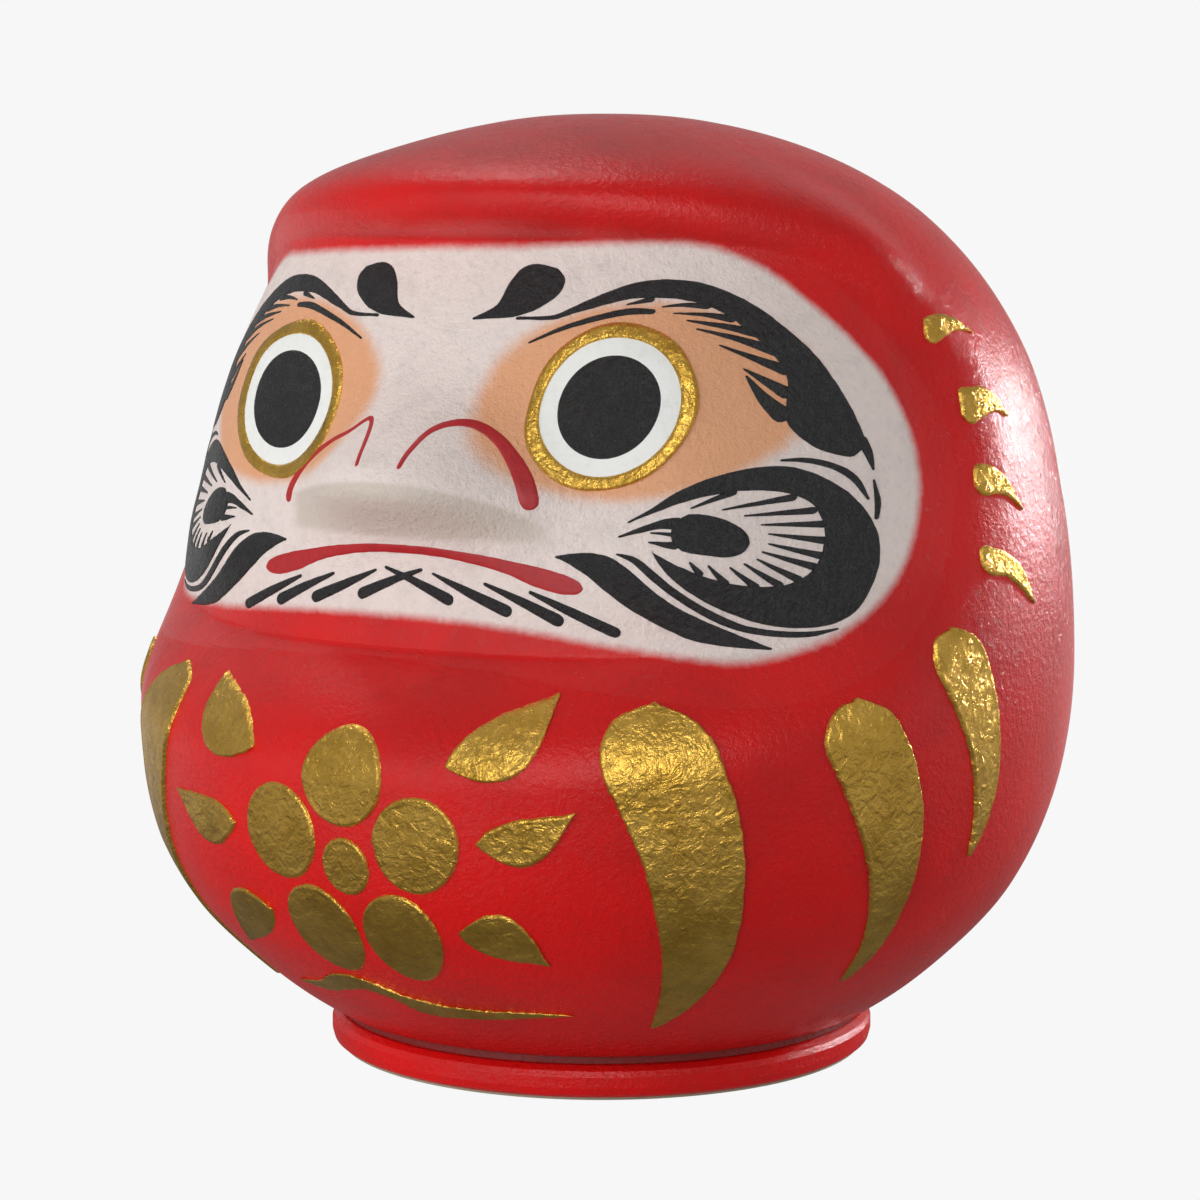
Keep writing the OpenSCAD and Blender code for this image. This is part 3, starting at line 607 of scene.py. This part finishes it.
# Outline of the white of the face: degrees round the doll and height
WHITE_EDGE = [
    (0, 129.3), (15, 129.4), (32, 130), (48, 129.9), (55, 128.3), (61.5, 125), (68.5, 118.2),
    (73.3, 111), (75.4, 104), (75.8, 98), (74.6, 91), (71.7, 84), (67.8, 78.4), (62, 73.7),
    (55, 71.1), (49, 70.1), (43.5, 70.6), (32, 72.2), (17, 74.3), (0, 75), (-21, 74.6), (-43, 73),
    (-58, 73), (-65, 75.6), (-69.5, 80), (-72.5, 86), (-74.6, 92), (-75.8, 98), (-75.4, 104),
    (-73.3, 111), (-68.5, 118.2), (-61.5, 125), (-55, 127.6), (-48, 128), (-32, 128.6), (-15, 129),
]


def white_depth(t, z):
    """Millimetres inside the outline of the white, negative outside."""
    scale = 1.15
    x, y = np.asarray(t) * scale, np.asarray(z)
    edge = np.array(WHITE_EDGE) * [scale, 1]
    closed = np.concatenate([edge[-1:], edge, edge[:2]])
    ring = through(closed, np.linspace(1, len(edge) + 1, 4 * len(edge) + 1))
    near = np.full(x.shape, 1e9)
    inside = np.zeros(x.shape, bool)
    for (ax, ay), (bx, by) in zip(ring[:-1], ring[1:]):
        dx, dy = bx - ax, by - ay
        k = np.clip(((x - ax) * dx + (y - ay) * dy) / (dx * dx + dy * dy), 0, 1)
        near = np.minimum(near, np.hypot(x - ax - k * dx, y - ay - k * dy))
        crosses = (ay > y) != (by > y)
        inside ^= crosses & (x < ax + (y - ay) * dx / (dy if dy else 1e-9))
    return np.where(inside, near, -near)


def build_shell():
    front = np.linspace(-100, 100, 321)
    back = np.linspace(100, 260, 82)[1:-1]
    angles = np.concatenate([front, back])
    low = math.degrees(math.atan2(SHELL_Z - BELLY_Z, float(body_r(np.array(SHELL_Z)))))
    levels = np.concatenate([
        np.linspace(low, 0, 60), np.linspace(0, 68, 130)[1:], np.linspace(68, 89.2, 36)[1:],
    ])
    rho, z = body_ring(levels)
    wrapped = np.where(angles > 180, angles - 360, angles)
    t, zz = np.meshgrid(wrapped, z, indexing="ij")
    hidden = smooth((white_depth(t, zz) + 1) / 3)
    outer = skin_at(t, zz, np.broadcast_to(rho, t.shape), -0.8 * hidden)
    n = len(angles)
    cols = len(levels)
    tip = np.array([[0, lean(TOTAL_H), TOTAL_H]])
    # lower edge turned in, then a short inner wall
    inner_levels = np.linspace(low, 60, 24)
    rho_in, z_in = body_ring(inner_levels)
    ti, zi = np.meshgrid(wrapped, z_in, indexing="ij")
    inner = skin_at(ti, zi, np.broadcast_to(rho_in, ti.shape), -2.5)
    points = np.concatenate([outer.reshape(-1, 3), tip, inner.reshape(-1, 3)])
    faces = grid_faces(n, cols, 0, loop=True)
    tip_id = n * cols
    i = np.arange(n)
    cap = np.stack([i * cols + cols - 1, ((i + 1) % n) * cols + cols - 1, np.full(n, tip_id)], -1)
    first = tip_id + 1
    inner_faces = grid_faces(n, len(inner_levels), first, loop=True)[:, ::-1]
    m = len(inner_levels)
    rim = np.stack([i * cols, first + i * m, first + ((i + 1) % n) * m, ((i + 1) % n) * cols], -1)
    all_faces = [faces, inner_faces, rim, cap]
    return add_mesh("body_shell_lacquered", points, all_faces, red_lacquer, ["body_shell"])


def build_coat():
    """White ground of the face. It runs a little under the red at its rim and thins out there."""
    t, z = np.meshgrid(np.linspace(-85, 85, 369), np.linspace(60, 140, 201), indexing="ij")
    depth = white_depth(t, z)
    p = np.stack([t, z], -1)
    # the rim thins out slowly, so that it dips under the red of the shell without a step
    d = COAT_T + 0.02 * np.clip(depth, -9, 0)
    points = on_body(p, d)
    x = points[..., 0]
    side = np.abs(x)
    white = np.clip(0.5 + depth / 2.4, 0, 1)
    patch_r = np.hypot((side - 31.8) / 22.5, (z - 107.2) / 14.2)
    orange = smooth(np.clip(0.5 + (1 - patch_r) * 3.5, 0, 1))
    # band under the nose ridge, partly beige paint and partly painted shade under the nose
    arch = 95.4 - (x - 1) ** 2 / np.where(x > 1, 75, 165)
    nose_under_shade = smooth((arch - z) / 0.8 + 0.5) * smooth((z - 86.2) / 1.4) * (1 - smooth((side - 20.5) / 3.5))
    keep = depth > -8
    faces = grid_faces(*t.shape)
    faces = faces[keep.reshape(-1)[faces].all(axis=1)]
    used, back = np.unique(faces, return_inverse=True)
    colours = {"white": white.ravel()[used], "orange": orange.ravel()[used], "band": nose_under_shade.ravel()[used]}
    seen = points.reshape(-1, 3)[used]
    faces = back.reshape(faces.shape)
    return add_mesh("face_coat_painted", seen, [faces], face_mat, ["face_coat"], colours)


build_shell()
build_coat()

# ---------- painted face ----------

EYE_AT = {"left": (29.1, 106.4), "right": (29.1, 105.8)}
SIDES = ((False, "left"), (True, "right"))

BROW_DROP = [
    [5.2, 118.9, 5.3, 118.7], [8.4, 120.5, 9.4, 118.9], [9.5, 122, 12.2, 119.2], [10.2, 124.2, 15.4, 120.3],
    [11.8, 126.3, 18.2, 122.4], [14, 127, 18.8, 124.6], [16.6, 126.6, 18, 126],
]
BROW = [
    [12.4, 119.2, 12.4, 118.8], [18, 119.5, 18, 118.8], [21, 120.8, 21, 119.7], [25, 122.8, 25, 120.9],
    [29, 124.3, 28.6, 121.9], [33, 124.8, 32.6, 122.1], [37, 124.4, 36.4, 121.7], [41, 123, 39.6, 120.7],
    [44.6, 121, 42.6, 119], [48, 118.4, 45.6, 116.6], [51.1, 115.6, 48.4, 113.8], [53.8, 112.5, 50.4, 110.8],
    [56.2, 109, 51, 107.4], [58.4, 105, 51.6, 104.2], [59.9, 101.6, 54.2, 101.2], [60.2, 99.4, 57.8, 98.9],
]
BROW_HAIRS = [
    [[32, 122, 0.5], [28.4, 121.1, 0.1]],
    [[39.5, 120.9, 0.5], [36, 121.1, 0.3], [33.2, 120.8, 0.1]],
    [[43, 119, 0.6], [39, 119.7, 0.3], [35, 119.9, 0.1]],
    [[46.5, 116.8, 0.6], [42, 118, 0.4], [37, 118.9, 0.1]],
    [[49.4, 114, 0.7], [44, 116.2, 0.4], [38.6, 117.7, 0.1]],
    [[50.8, 111.4, 0.8], [46.5, 113.4, 0.4], [42, 115.4, 0.1]],
    [[51.4, 108, 0.9], [48.5, 110, 0.5], [45.5, 112, 0.1]],
    [[51.6, 104.6, 1.2], [48.6, 107.6, 0.7], [46, 111, 0.1]],
    [[59.4, 102, 0.5], [60.6, 99.4, 0.4], [61.4, 97.1, 0.1]],
]
LID_LINE = [[15.1, 115.4, 0.15], [20, 117.6, 0.35], [25, 119.2, 0.45], [29, 120.1, 0.5], [32.6, 120.1, 0.35]]
NOSE_WINGS = {
    "left": [
        [3.6, 97.4, 0.35], [3.8, 99.8, 0.45], [4.9, 102.6, 0.5], [7.6, 103.8, 0.5], [10.8, 103.6, 0.55],
        [14.2, 101.8, 0.65], [17.2, 98.8, 0.85], [19.7, 95.2, 1.1], [21.1, 91.6, 1.2],
    ],
    "right": [
        [4, 97.5, 0.35], [5.5, 101.5, 0.4], [7.5, 104, 0.35], [11, 102, 0.35], [16, 100, 0.4],
        [21, 97, 0.6], [24, 93, 0.8], [24.5, 90.5, 0.8],
    ],
}
MOUTH_HALF = [
    [0, 85.7, 0, 84.4], [6, 85.5, 6, 84.2], [12, 84.9, 12, 83.3], [17, 84.1, 16.6, 82.2],
    [22, 83.2, 21.4, 80.4], [26.4, 82.1, 25.6, 79.4], [28.8, 81, 28.6, 79.5],
]
WHISKER = [
    [34.2, 90.1, 34.3, 89.9], [37.2, 92, 37.5, 91.3], [40.7, 94.6, 41.2, 92.9], [44.7, 96.6, 45.2, 94.1],
    [48.7, 97.8, 49.2, 94.6], [52.7, 97.9, 52.7, 94.2], [56.2, 96.5, 55.5, 92.8], [59.2, 94.2, 57, 90.6],
    [61.5, 91.2, 57.7, 88.2], [63.1, 87.8, 57.8, 85.8], [63.7, 84, 57.5, 83.9], [63.3, 80.6, 56.5, 82.3],
    [62.2, 77.3, 54.7, 81.2], [59.9, 75.3, 52.2, 80.9], [56.2, 74.8, 49.5, 81.2], [52.2, 75.4, 46.7, 82],
    [48.2, 77.1, 44.2, 83], [44.2, 79.6, 41.7, 84.2], [40.7, 82.8, 39.7, 85.2], [38.1, 86.2, 38.2, 86],
]
WHISKER_HAIRS = [
    [47.5, 94.6, 42.4, 92.1], [54.1, 93.6, 46.1, 91.9], [56.5, 91.6, 48.7, 91], [57.9, 89.6, 50.7, 89.7],
    [58.2, 87.2, 51.7, 88.4], [58.2, 85, 51.9, 87], [57.7, 83.4, 51.4, 85.9], [56.1, 81.6, 51, 84.9],
    [54.1, 80.8, 49.7, 84.3], [51.5, 80.6, 48.2, 83.8], [48.1, 81.2, 45.7, 84.1], [45.1, 82.6, 43.4, 84.6],
]
CHEEK_ARCS = [
    [
        [51.6, 98.8, 0.15], [54.2, 98.8, 0.35], [57.2, 97.9, 0.4], [59.7, 96, 0.4], [61.5, 92.9, 0.12],
    ],
    [
        [61.6, 95.8, 0.1], [62.4, 92.6, 0.3], [62.6, 90, 0.2],
    ],
]
WHISKER_EYE = [
    [40.3, 91, 40.5, 86.4], [42.7, 91.4, 42.7, 85.9], [45.7, 90.9, 45.7, 85.4], [48.1, 89.7, 48.1, 85.2],
    [49.5, 88.3, 49.5, 85.9], [49.9, 87.3, 49.9, 86.8],
]
WHISKER_EYE_TOP = [
    [33.1, 88, 33.2, 87.8], [35.7, 89.2, 36.1, 88.5], [38.7, 90.4, 39.1, 89.2], [41.7, 91.1, 41.7, 88.9],
]
WHISKER_EYE_LOW = [
    [37.5, 87.4, 37.6, 87.2], [39.3, 87.4, 39.4, 86.7], [41.7, 87.5, 41.7, 86.1],
]
WHISKER_EYE_HAIR = [
    [37.6, 88.6, 0.1], [39.7, 88.5, 0.25], [41.7, 88.2, 0.3],
]
MOUSTACHE = [
    [24.3, 84.9, 24.4, 84.7], [27, 85.4, 26.5, 83.8], [30, 85.5, 29.5, 82.1], [33, 84.8, 32, 80.1],
    [36, 82.9, 35, 77.9], [39, 80.2, 38, 76], [42, 77.9, 41, 74.3], [45.5, 75.8, 44, 73],
    [49.5, 73.8, 48, 72.2], [53.4, 71.9, 53.2, 71.7],
]
JAW_LINE = [
    [33.3, 85.5, 0.12], [36, 84.7, 0.45], [38.4, 82.9, 0.6], [41, 80.6, 0.6], [44, 78.2, 0.6],
    [47, 76.2, 0.6], [50, 74.8, 0.5], [54, 74, 0.45], [57.6, 73.9, 0.4], [60.4, 74.6, 0.12],
]
CHIN_STROKES = [
    [[-3.4, 82.1, 0.2], [2, 80.2, 0.5], [8.6, 77.5, 0.75]],
    [[5, 81.6, 0.15], [11, 79.1, 0.55], [18.1, 76.3, 0.75]],
    [[13.5, 80.5, 0.2], [20, 77.9, 0.55], [26, 75.2, 0.75]],
    [[20.6, 79.6, 0.2], [27, 76.9, 0.55], [34.1, 73.8, 0.65]],
]


def ink_piece(name, material, nodes, strokes=(), hairs=(), mirror=False):
    skin = Skin()
    for k, edges in enumerate(strokes):
        stroke(skin, edges, on_face, INK_BASE, INK_T, mirror, seed=11 + 7 * k)
    for k, line in enumerate(hairs):
        hair(skin, line, on_face, INK_BASE - 0.01, INK_T, mirror, seed=31 + 5 * k)
    return skin.piece(name, material, nodes)


for mirror, side in SIDES:
    skin = Skin()
    patch(skin, EYE_AT[side], (11.2, 11.1), on_face, INK_BASE, INK_T, 61, mirror, seed=3)
    skin.piece("eye_white_paint_" + side, eye_white_mat, ["eye_white_" + side])
    skin = Skin()
    band(skin, EYE_AT[side], (10.1, 10.0), (12.2, 12.1), on_face, RING_BASE - 0.05, GOLD_T, mirror, seed=2)
    skin.piece("eye_ring_gold_" + side, gold_mat, ["eye_ring_" + side])
    skin = Skin()
    patch(skin, EYE_AT[side], (7.6, 7.5), on_face, RING_BASE, INK_T, 61, mirror, seed=5)
    skin.piece("pupil_ink_" + side, black_mat, ["pupil_" + side])
    ink_piece("brow_drop_ink_" + side, black_mat, ["brow_drop_" + side], [BROW_DROP], (), mirror)
    ink_piece("brow_ink_" + side, black_mat, ["brow_" + side], [BROW], BROW_HAIRS, mirror)
    ink_piece("lid_line_ink_" + side, black_mat, ["lid_line_" + side], (), [LID_LINE], mirror)
    ink_piece("nose_line_ink_" + side, red_ink, ["nose_line_" + side], (), [NOSE_WINGS[side]],
              mirror)
    whisker_hairs = [[[a, b, 0.55], [c, d, 0.12]] for a, b, c, d in WHISKER_HAIRS] + CHEEK_ARCS
    ink_piece("whisker_ink_" + side, black_mat, ["whisker_" + side], [WHISKER], whisker_hairs,
              mirror)
    ink_piece("whisker_eye_ink_" + side, black_mat, ["whisker_eye_" + side],
              [WHISKER_EYE, WHISKER_EYE_TOP, WHISKER_EYE_LOW], [WHISKER_EYE_HAIR], mirror)
    ink_piece("moustache_ink_" + side, black_mat, ["moustache_" + side], [MOUSTACHE], (), mirror)
    ink_piece("jaw_line_ink_" + side, black_mat, ["jaw_line_" + side], (), [JAW_LINE], mirror)
    ink_piece("chin_strokes_ink_" + side, black_mat, ["chin_strokes_" + side], (),
              [[[x, z, 1.25 * half] for x, z, half in line] for line in CHIN_STROKES], mirror)

mouth_left = [[-a, b, -c, d] for a, b, c, d in MOUTH_HALF[:0:-1]]
ink_piece("mouth_ink", red_ink, ["mouth"], [mouth_left + MOUTH_HALF])

# ---------- gold on the body ----------

GOLD_BEARD = [
    [
        [37, 65.1, 38.6, 65.1], [33.4, 63.4, 41.6, 63.4], [31.3, 59.8, 43.9, 59.8], [31.4, 55.6, 45, 55.6],
        [33, 51, 46.4, 51], [34.8, 46.4, 47.6, 45.4], [36.8, 40.6, 48.5, 39], [38.6, 33, 48.9, 32],
        [39.8, 26, 48.2, 25], [40.1, 20, 45.8, 19], [39.9, 16, 42.6, 15.2], [39.6, 13.9, 40.2, 13.7],
    ],
    [
        [60.6, 65.1, 62, 65.1], [57.8, 63, 64.8, 63], [56.4, 59.2, 67, 59.2], [57.2, 56, 68.5, 55.6],
        [59, 52, 69.8, 51.4], [61.4, 46.4, 71.1, 46], [64.2, 39.8, 72, 39.4], [66.3, 33, 72.2, 32.4],
        [67.6, 27.2, 71.6, 26.4], [68, 22.6, 70.4, 22], [68.3, 20, 69, 19.8],
    ],
    [
        [75, 74, 76.4, 74], [72.8, 72.2, 78.8, 72], [72, 68.4, 80.4, 68], [73.4, 64, 81.7, 63.6],
        [75.9, 59, 82.8, 58.4], [78, 53.6, 83.5, 53], [79.6, 48, 83.7, 47.6], [80.7, 42.6, 83, 42],
        [81.2, 38.8, 81.8, 38.4],
    ],
]
GOLD_COMMAS = [
    [
        [81.3, 117.2, 81.6, 114.6], [81.9, 118.8, 82.7, 115.2], [83.6, 119.4, 84.3, 116.2],
        [85.8, 119.2, 86.1, 116.8], [87.7, 118.1, 87.9, 116.7], [89.7, 116.5, 89.6, 116.3],
    ],
    [
        [83, 106, 83.5, 102.9], [83.7, 108.3, 84.4, 103.1], [85.7, 108.7, 85.9, 103.9],
        [87.5, 108.4, 87.5, 104.6], [89.4, 106.8, 89.4, 104.6], [91.2, 104, 91.1, 103.7],
    ],
    [
        [82.8, 94.8, 83.2, 92.6], [83.5, 97.2, 84.2, 92.4], [85.5, 97, 85.8, 92.5],
        [87.2, 95.6, 87.4, 92.2], [88.9, 93.1, 88.9, 91.1], [90.7, 89.9, 90.6, 89.7],
    ],
    [
        [81.6, 83, 82.2, 80.8], [82.4, 85.2, 83.4, 80.7], [84.7, 84.6, 85.2, 80.3],
        [86.9, 83.2, 87, 79.1], [89, 80.7, 89, 77.5], [91.2, 75.6, 91, 75.5],
    ],
]
GOLD_WAVE = [
    [-22, 16.9, -22, 16.6], [-15, 18.2, -15, 16.2], [-9, 20.6, -10, 17.2], [-3.6, 20.6, -5, 18.2],
    [2, 18.4, -0.6, 17.2], [8, 17.2, 4, 14.9], [15, 16.9, 13, 14.8], [21, 17, 21, 15.6], [28, 16.8, 28, 16.5],
]
LEAVES = [
    ((-17, 56), (-36, 65), 4.2, 2), ((-22, 44), (-40, 47), 3.8, 2), ((-18, 31), (-35, 23), 4, -2),
    ((19, 56), (36, 66), 4.4, -2), ((24, 45), (39, 50), 3.6, -2), ((20, 31), (35, 26), 3.8, 2),
]
BLOSSOM_AT = (1, 40)
PETALS, PETAL_REACH, PETAL_R, HEART_R = 5, 13.4, 7.3, 4.4


def gold_piece(name, nodes, strokes, mirror=False):
    skin = Skin()
    for k, edges in enumerate(strokes):
        stroke(skin, edges, on_body, GOLD_BASE, GOLD_T, mirror, soft=0.6, bead=0.25, rough=0.14,
               seed=51 + 9 * k)
    return skin.piece(name, gold_mat, nodes)


def leaf_edges(start, end, half, bow):
    start, end = np.array(start, float), np.array(end, float)
    u = np.linspace(0, 1, 15)[:, None]
    run = end - start
    side = np.array([-run[1], run[0]]) / np.linalg.norm(run)
    mid = start + run * u + side * bow * np.sin(math.pi * u)
    reach = side * np.maximum(0.1, half * np.sin(math.pi * u ** 0.8))
    edges = np.concatenate([mid + reach, mid - reach], 1)
    edges[:, [0, 2]] /= DEGREE
    return edges


for mirror, side in SIDES:
    gold_piece("beard_gold_" + side, ["gold_beard_" + side], GOLD_BEARD, mirror)
    gold_piece("commas_gold_" + side, ["gold_commas_" + side], GOLD_COMMAS, mirror)
gold_piece("wave_gold", ["gold_wave"], [GOLD_WAVE])
gold_piece("leaves_gold", ["gold_leaves"], [leaf_edges(*leaf) for leaf in LEAVES])

skin = Skin()
for k in range(PETALS):
    a = math.radians(90 + 360 / PETALS * k)
    centre = (BLOSSOM_AT[0] + PETAL_REACH * math.cos(a) / DEGREE, BLOSSOM_AT[1] + PETAL_REACH * math.sin(a))
    patch(skin, centre, (PETAL_R / DEGREE, PETAL_R), on_body, GOLD_BASE, GOLD_T, 41, soft=0.6, wobble=0.03,
          seed=70 + k, bead=0.25)
skin.piece("blossom_gold", gold_mat, ["gold_blossom"])
skin = Skin()
patch(skin, BLOSSOM_AT, (HEART_R / DEGREE, HEART_R), on_body, GOLD_BASE, GOLD_T, 31, soft=0.6, wobble=0.03,
      seed=80, bead=0.25)
skin.piece("blossom_heart_gold", gold_mat, ["gold_blossom_heart"])

# ---------- seam strip and foot ----------

skin = Skin()
t, z = np.meshgrid(np.linspace(172, 188, 33), np.linspace(22, 122, 120), indexing="ij")
skin.add(np.stack([t, z], -1), np.full(t.shape, 0.3), on_body)
skin.piece("seam_strip_lacquered", red_lacquer, ["back_seam_strip"])


def dress(node, material):
    """Gives a CAD node a better material."""
    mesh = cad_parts[node].data
    mesh.materials.clear()
    mesh.materials.append(material)


dress("foot_ring", red_lacquer)
dress("closing_disc", dark_board)
dress("bottom_paper", kraft)
dress("clay_weight", clay_mat)

# ---------- stage, light and camera ----------

WORLD_GREY = 0.35
PAPER_WHITE = 0.93
# Distances from the doll, in metres, and the strength of the reflected floor there: weaker near the doll, a
# painted shadow of the doll in reflections
NEAR_FLOOR, FAR_FLOOR = 0.06, 0.36
PAINTED_SHADOW_GLOW, FAR_GLOW = 0.15, 0.52


def stage_sheet(name, points, faces, mirrored=False):
    """Evenly lit pale paper: seen by the camera, but throws neither light nor shadow on the doll.
    The mirrored sheet is its counterpart that only reflections see: a painted reflection of the floor, darker
    close to the doll as a painted shadow of the doll."""
    mesh = bpy.data.meshes.new(name)
    mesh.from_pydata(points, [], faces)
    obj = bpy.data.objects.new(name, mesh)
    bpy.context.collection.objects.link(obj)
    material = bpy.data.materials.new(name + "_paper")
    material.use_nodes = True
    nt = material.node_tree
    nt.nodes.clear()
    out = nt.nodes.new("ShaderNodeOutputMaterial")
    glow = nt.nodes.new("ShaderNodeEmission")
    glow.inputs[0].default_value = (PAPER_WHITE, PAPER_WHITE, PAPER_WHITE, 1)
    if mirrored:
        length = nt.nodes.new("ShaderNodeVectorMath")
        length.operation = "LENGTH"
        nt.links.new(coords(nt), length.inputs[0])
        # painted shadow: the floor seen in reflections glows less close to the doll
        strength = ramp(nt, length.outputs["Value"], NEAR_FLOOR, FAR_FLOOR, PAINTED_SHADOW_GLOW, FAR_GLOW)
        nt.links.new(strength, glow.inputs[1])
    nt.links.new(glow.outputs[0], out.inputs[0])
    mesh.materials.append(material)
    obj.visible_diffuse = obj.visible_transmission = obj.visible_shadow = False
    obj.visible_glossy, obj.visible_camera = mirrored, not mirrored
    return obj


FLOOR_HALF, WALL_H = 3.0, 6.0
corners = [(x * FLOOR_HALF, y * FLOOR_HALF) for x, y in ((-1, -1), (1, -1), (1, 1), (-1, 1))]
stage_sheet("floor", [(x, y, 0) for x, y in corners], [(0, 1, 2, 3)])
# painted reflection of the floor, with a painted shadow of the doll, seen only in reflections
stage_sheet("floor_in_reflections", [(x, y, -MM) for x, y in corners], [(0, 1, 2, 3)], mirrored=True)
stage_sheet("backdrop", [(x, y, h) for h in (0, WALL_H) for x, y in corners],
            [(k, (k + 1) % 4, 4 + (k + 1) % 4, 4 + k) for k in range(4)] + [(7, 6, 5, 4)])

world = bpy.data.worlds.new("studio")
world.use_nodes = True
world.node_tree.nodes["Background"].inputs[0].default_value = (1, 1, 1, 1)
world.node_tree.nodes["Background"].inputs[1].default_value = WORLD_GREY
bpy.context.scene.world = world

middle = Vector((0, 0, TOTAL_H / 2 * MM))


def soft_light(name, azimuth, elevation, distance, size, power):
    """Soft box seen from the doll at an azimuth (0 in front, 90 to its left) and elevation."""
    data = bpy.data.lights.new(name, "AREA")
    data.shape = "RECTANGLE"
    data.size, data.size_y = size
    data.energy = power
    obj = bpy.data.objects.new(name, data)
    a, e = math.radians(azimuth), math.radians(elevation)
    back = Vector((math.sin(a) * math.cos(e), -math.cos(a) * math.cos(e), math.sin(e)))
    obj.location = middle + back * distance
    obj.rotation_euler = back.to_track_quat("Z", "Y").to_euler()
    obj.visible_camera = False
    bpy.context.collection.objects.link(obj)
    return obj


soft_light("key_box", -18, 6, 1.3, (1.4, 1.4), 16).visible_glossy = False
soft_light("side_fill", 120, 8, 1.3, (0.8, 0.8), 6).visible_glossy = False
soft_light("rim_box", 157, 9, 1.2, (0.09, 0.14), 8)
sheen = soft_light("front_sheen", 26, 20, 1.3, (0.7, 0.5), 4.5)
sheen.visible_diffuse = False
soft_light("top_box", -118, 64, 1.2, (0.25, 0.25), 2.0)

# The camera looks from the front of the doll's own left side at a point just under its middle
CAMERA_AZ, CAMERA_EL, CAMERA_DISTANCE, LENS = 32.0, 6.75, 555.0, 102.45
TARGET_Z, TARGET_SIDE = 71.75, -0.25
az, el = math.radians(CAMERA_AZ), math.radians(CAMERA_EL)
back = Vector((math.sin(az) * math.cos(el), -math.cos(az) * math.cos(el), math.sin(el)))
right = Vector((math.cos(az), math.sin(az), 0))
camera_data = bpy.data.cameras.new("camera")
camera_data.sensor_width = 36
camera_data.lens = LENS
camera = bpy.data.objects.new("camera", camera_data)
target = Vector((0, 0, TARGET_Z * MM)) + right * TARGET_SIDE * MM
camera.location = target + back * CAMERA_DISTANCE * MM
camera.rotation_euler = back.to_track_quat("Z", "Y").to_euler()
bpy.context.collection.objects.link(camera)
bpy.context.scene.camera = camera
bpy.context.scene.view_settings.view_transform = "Standard"
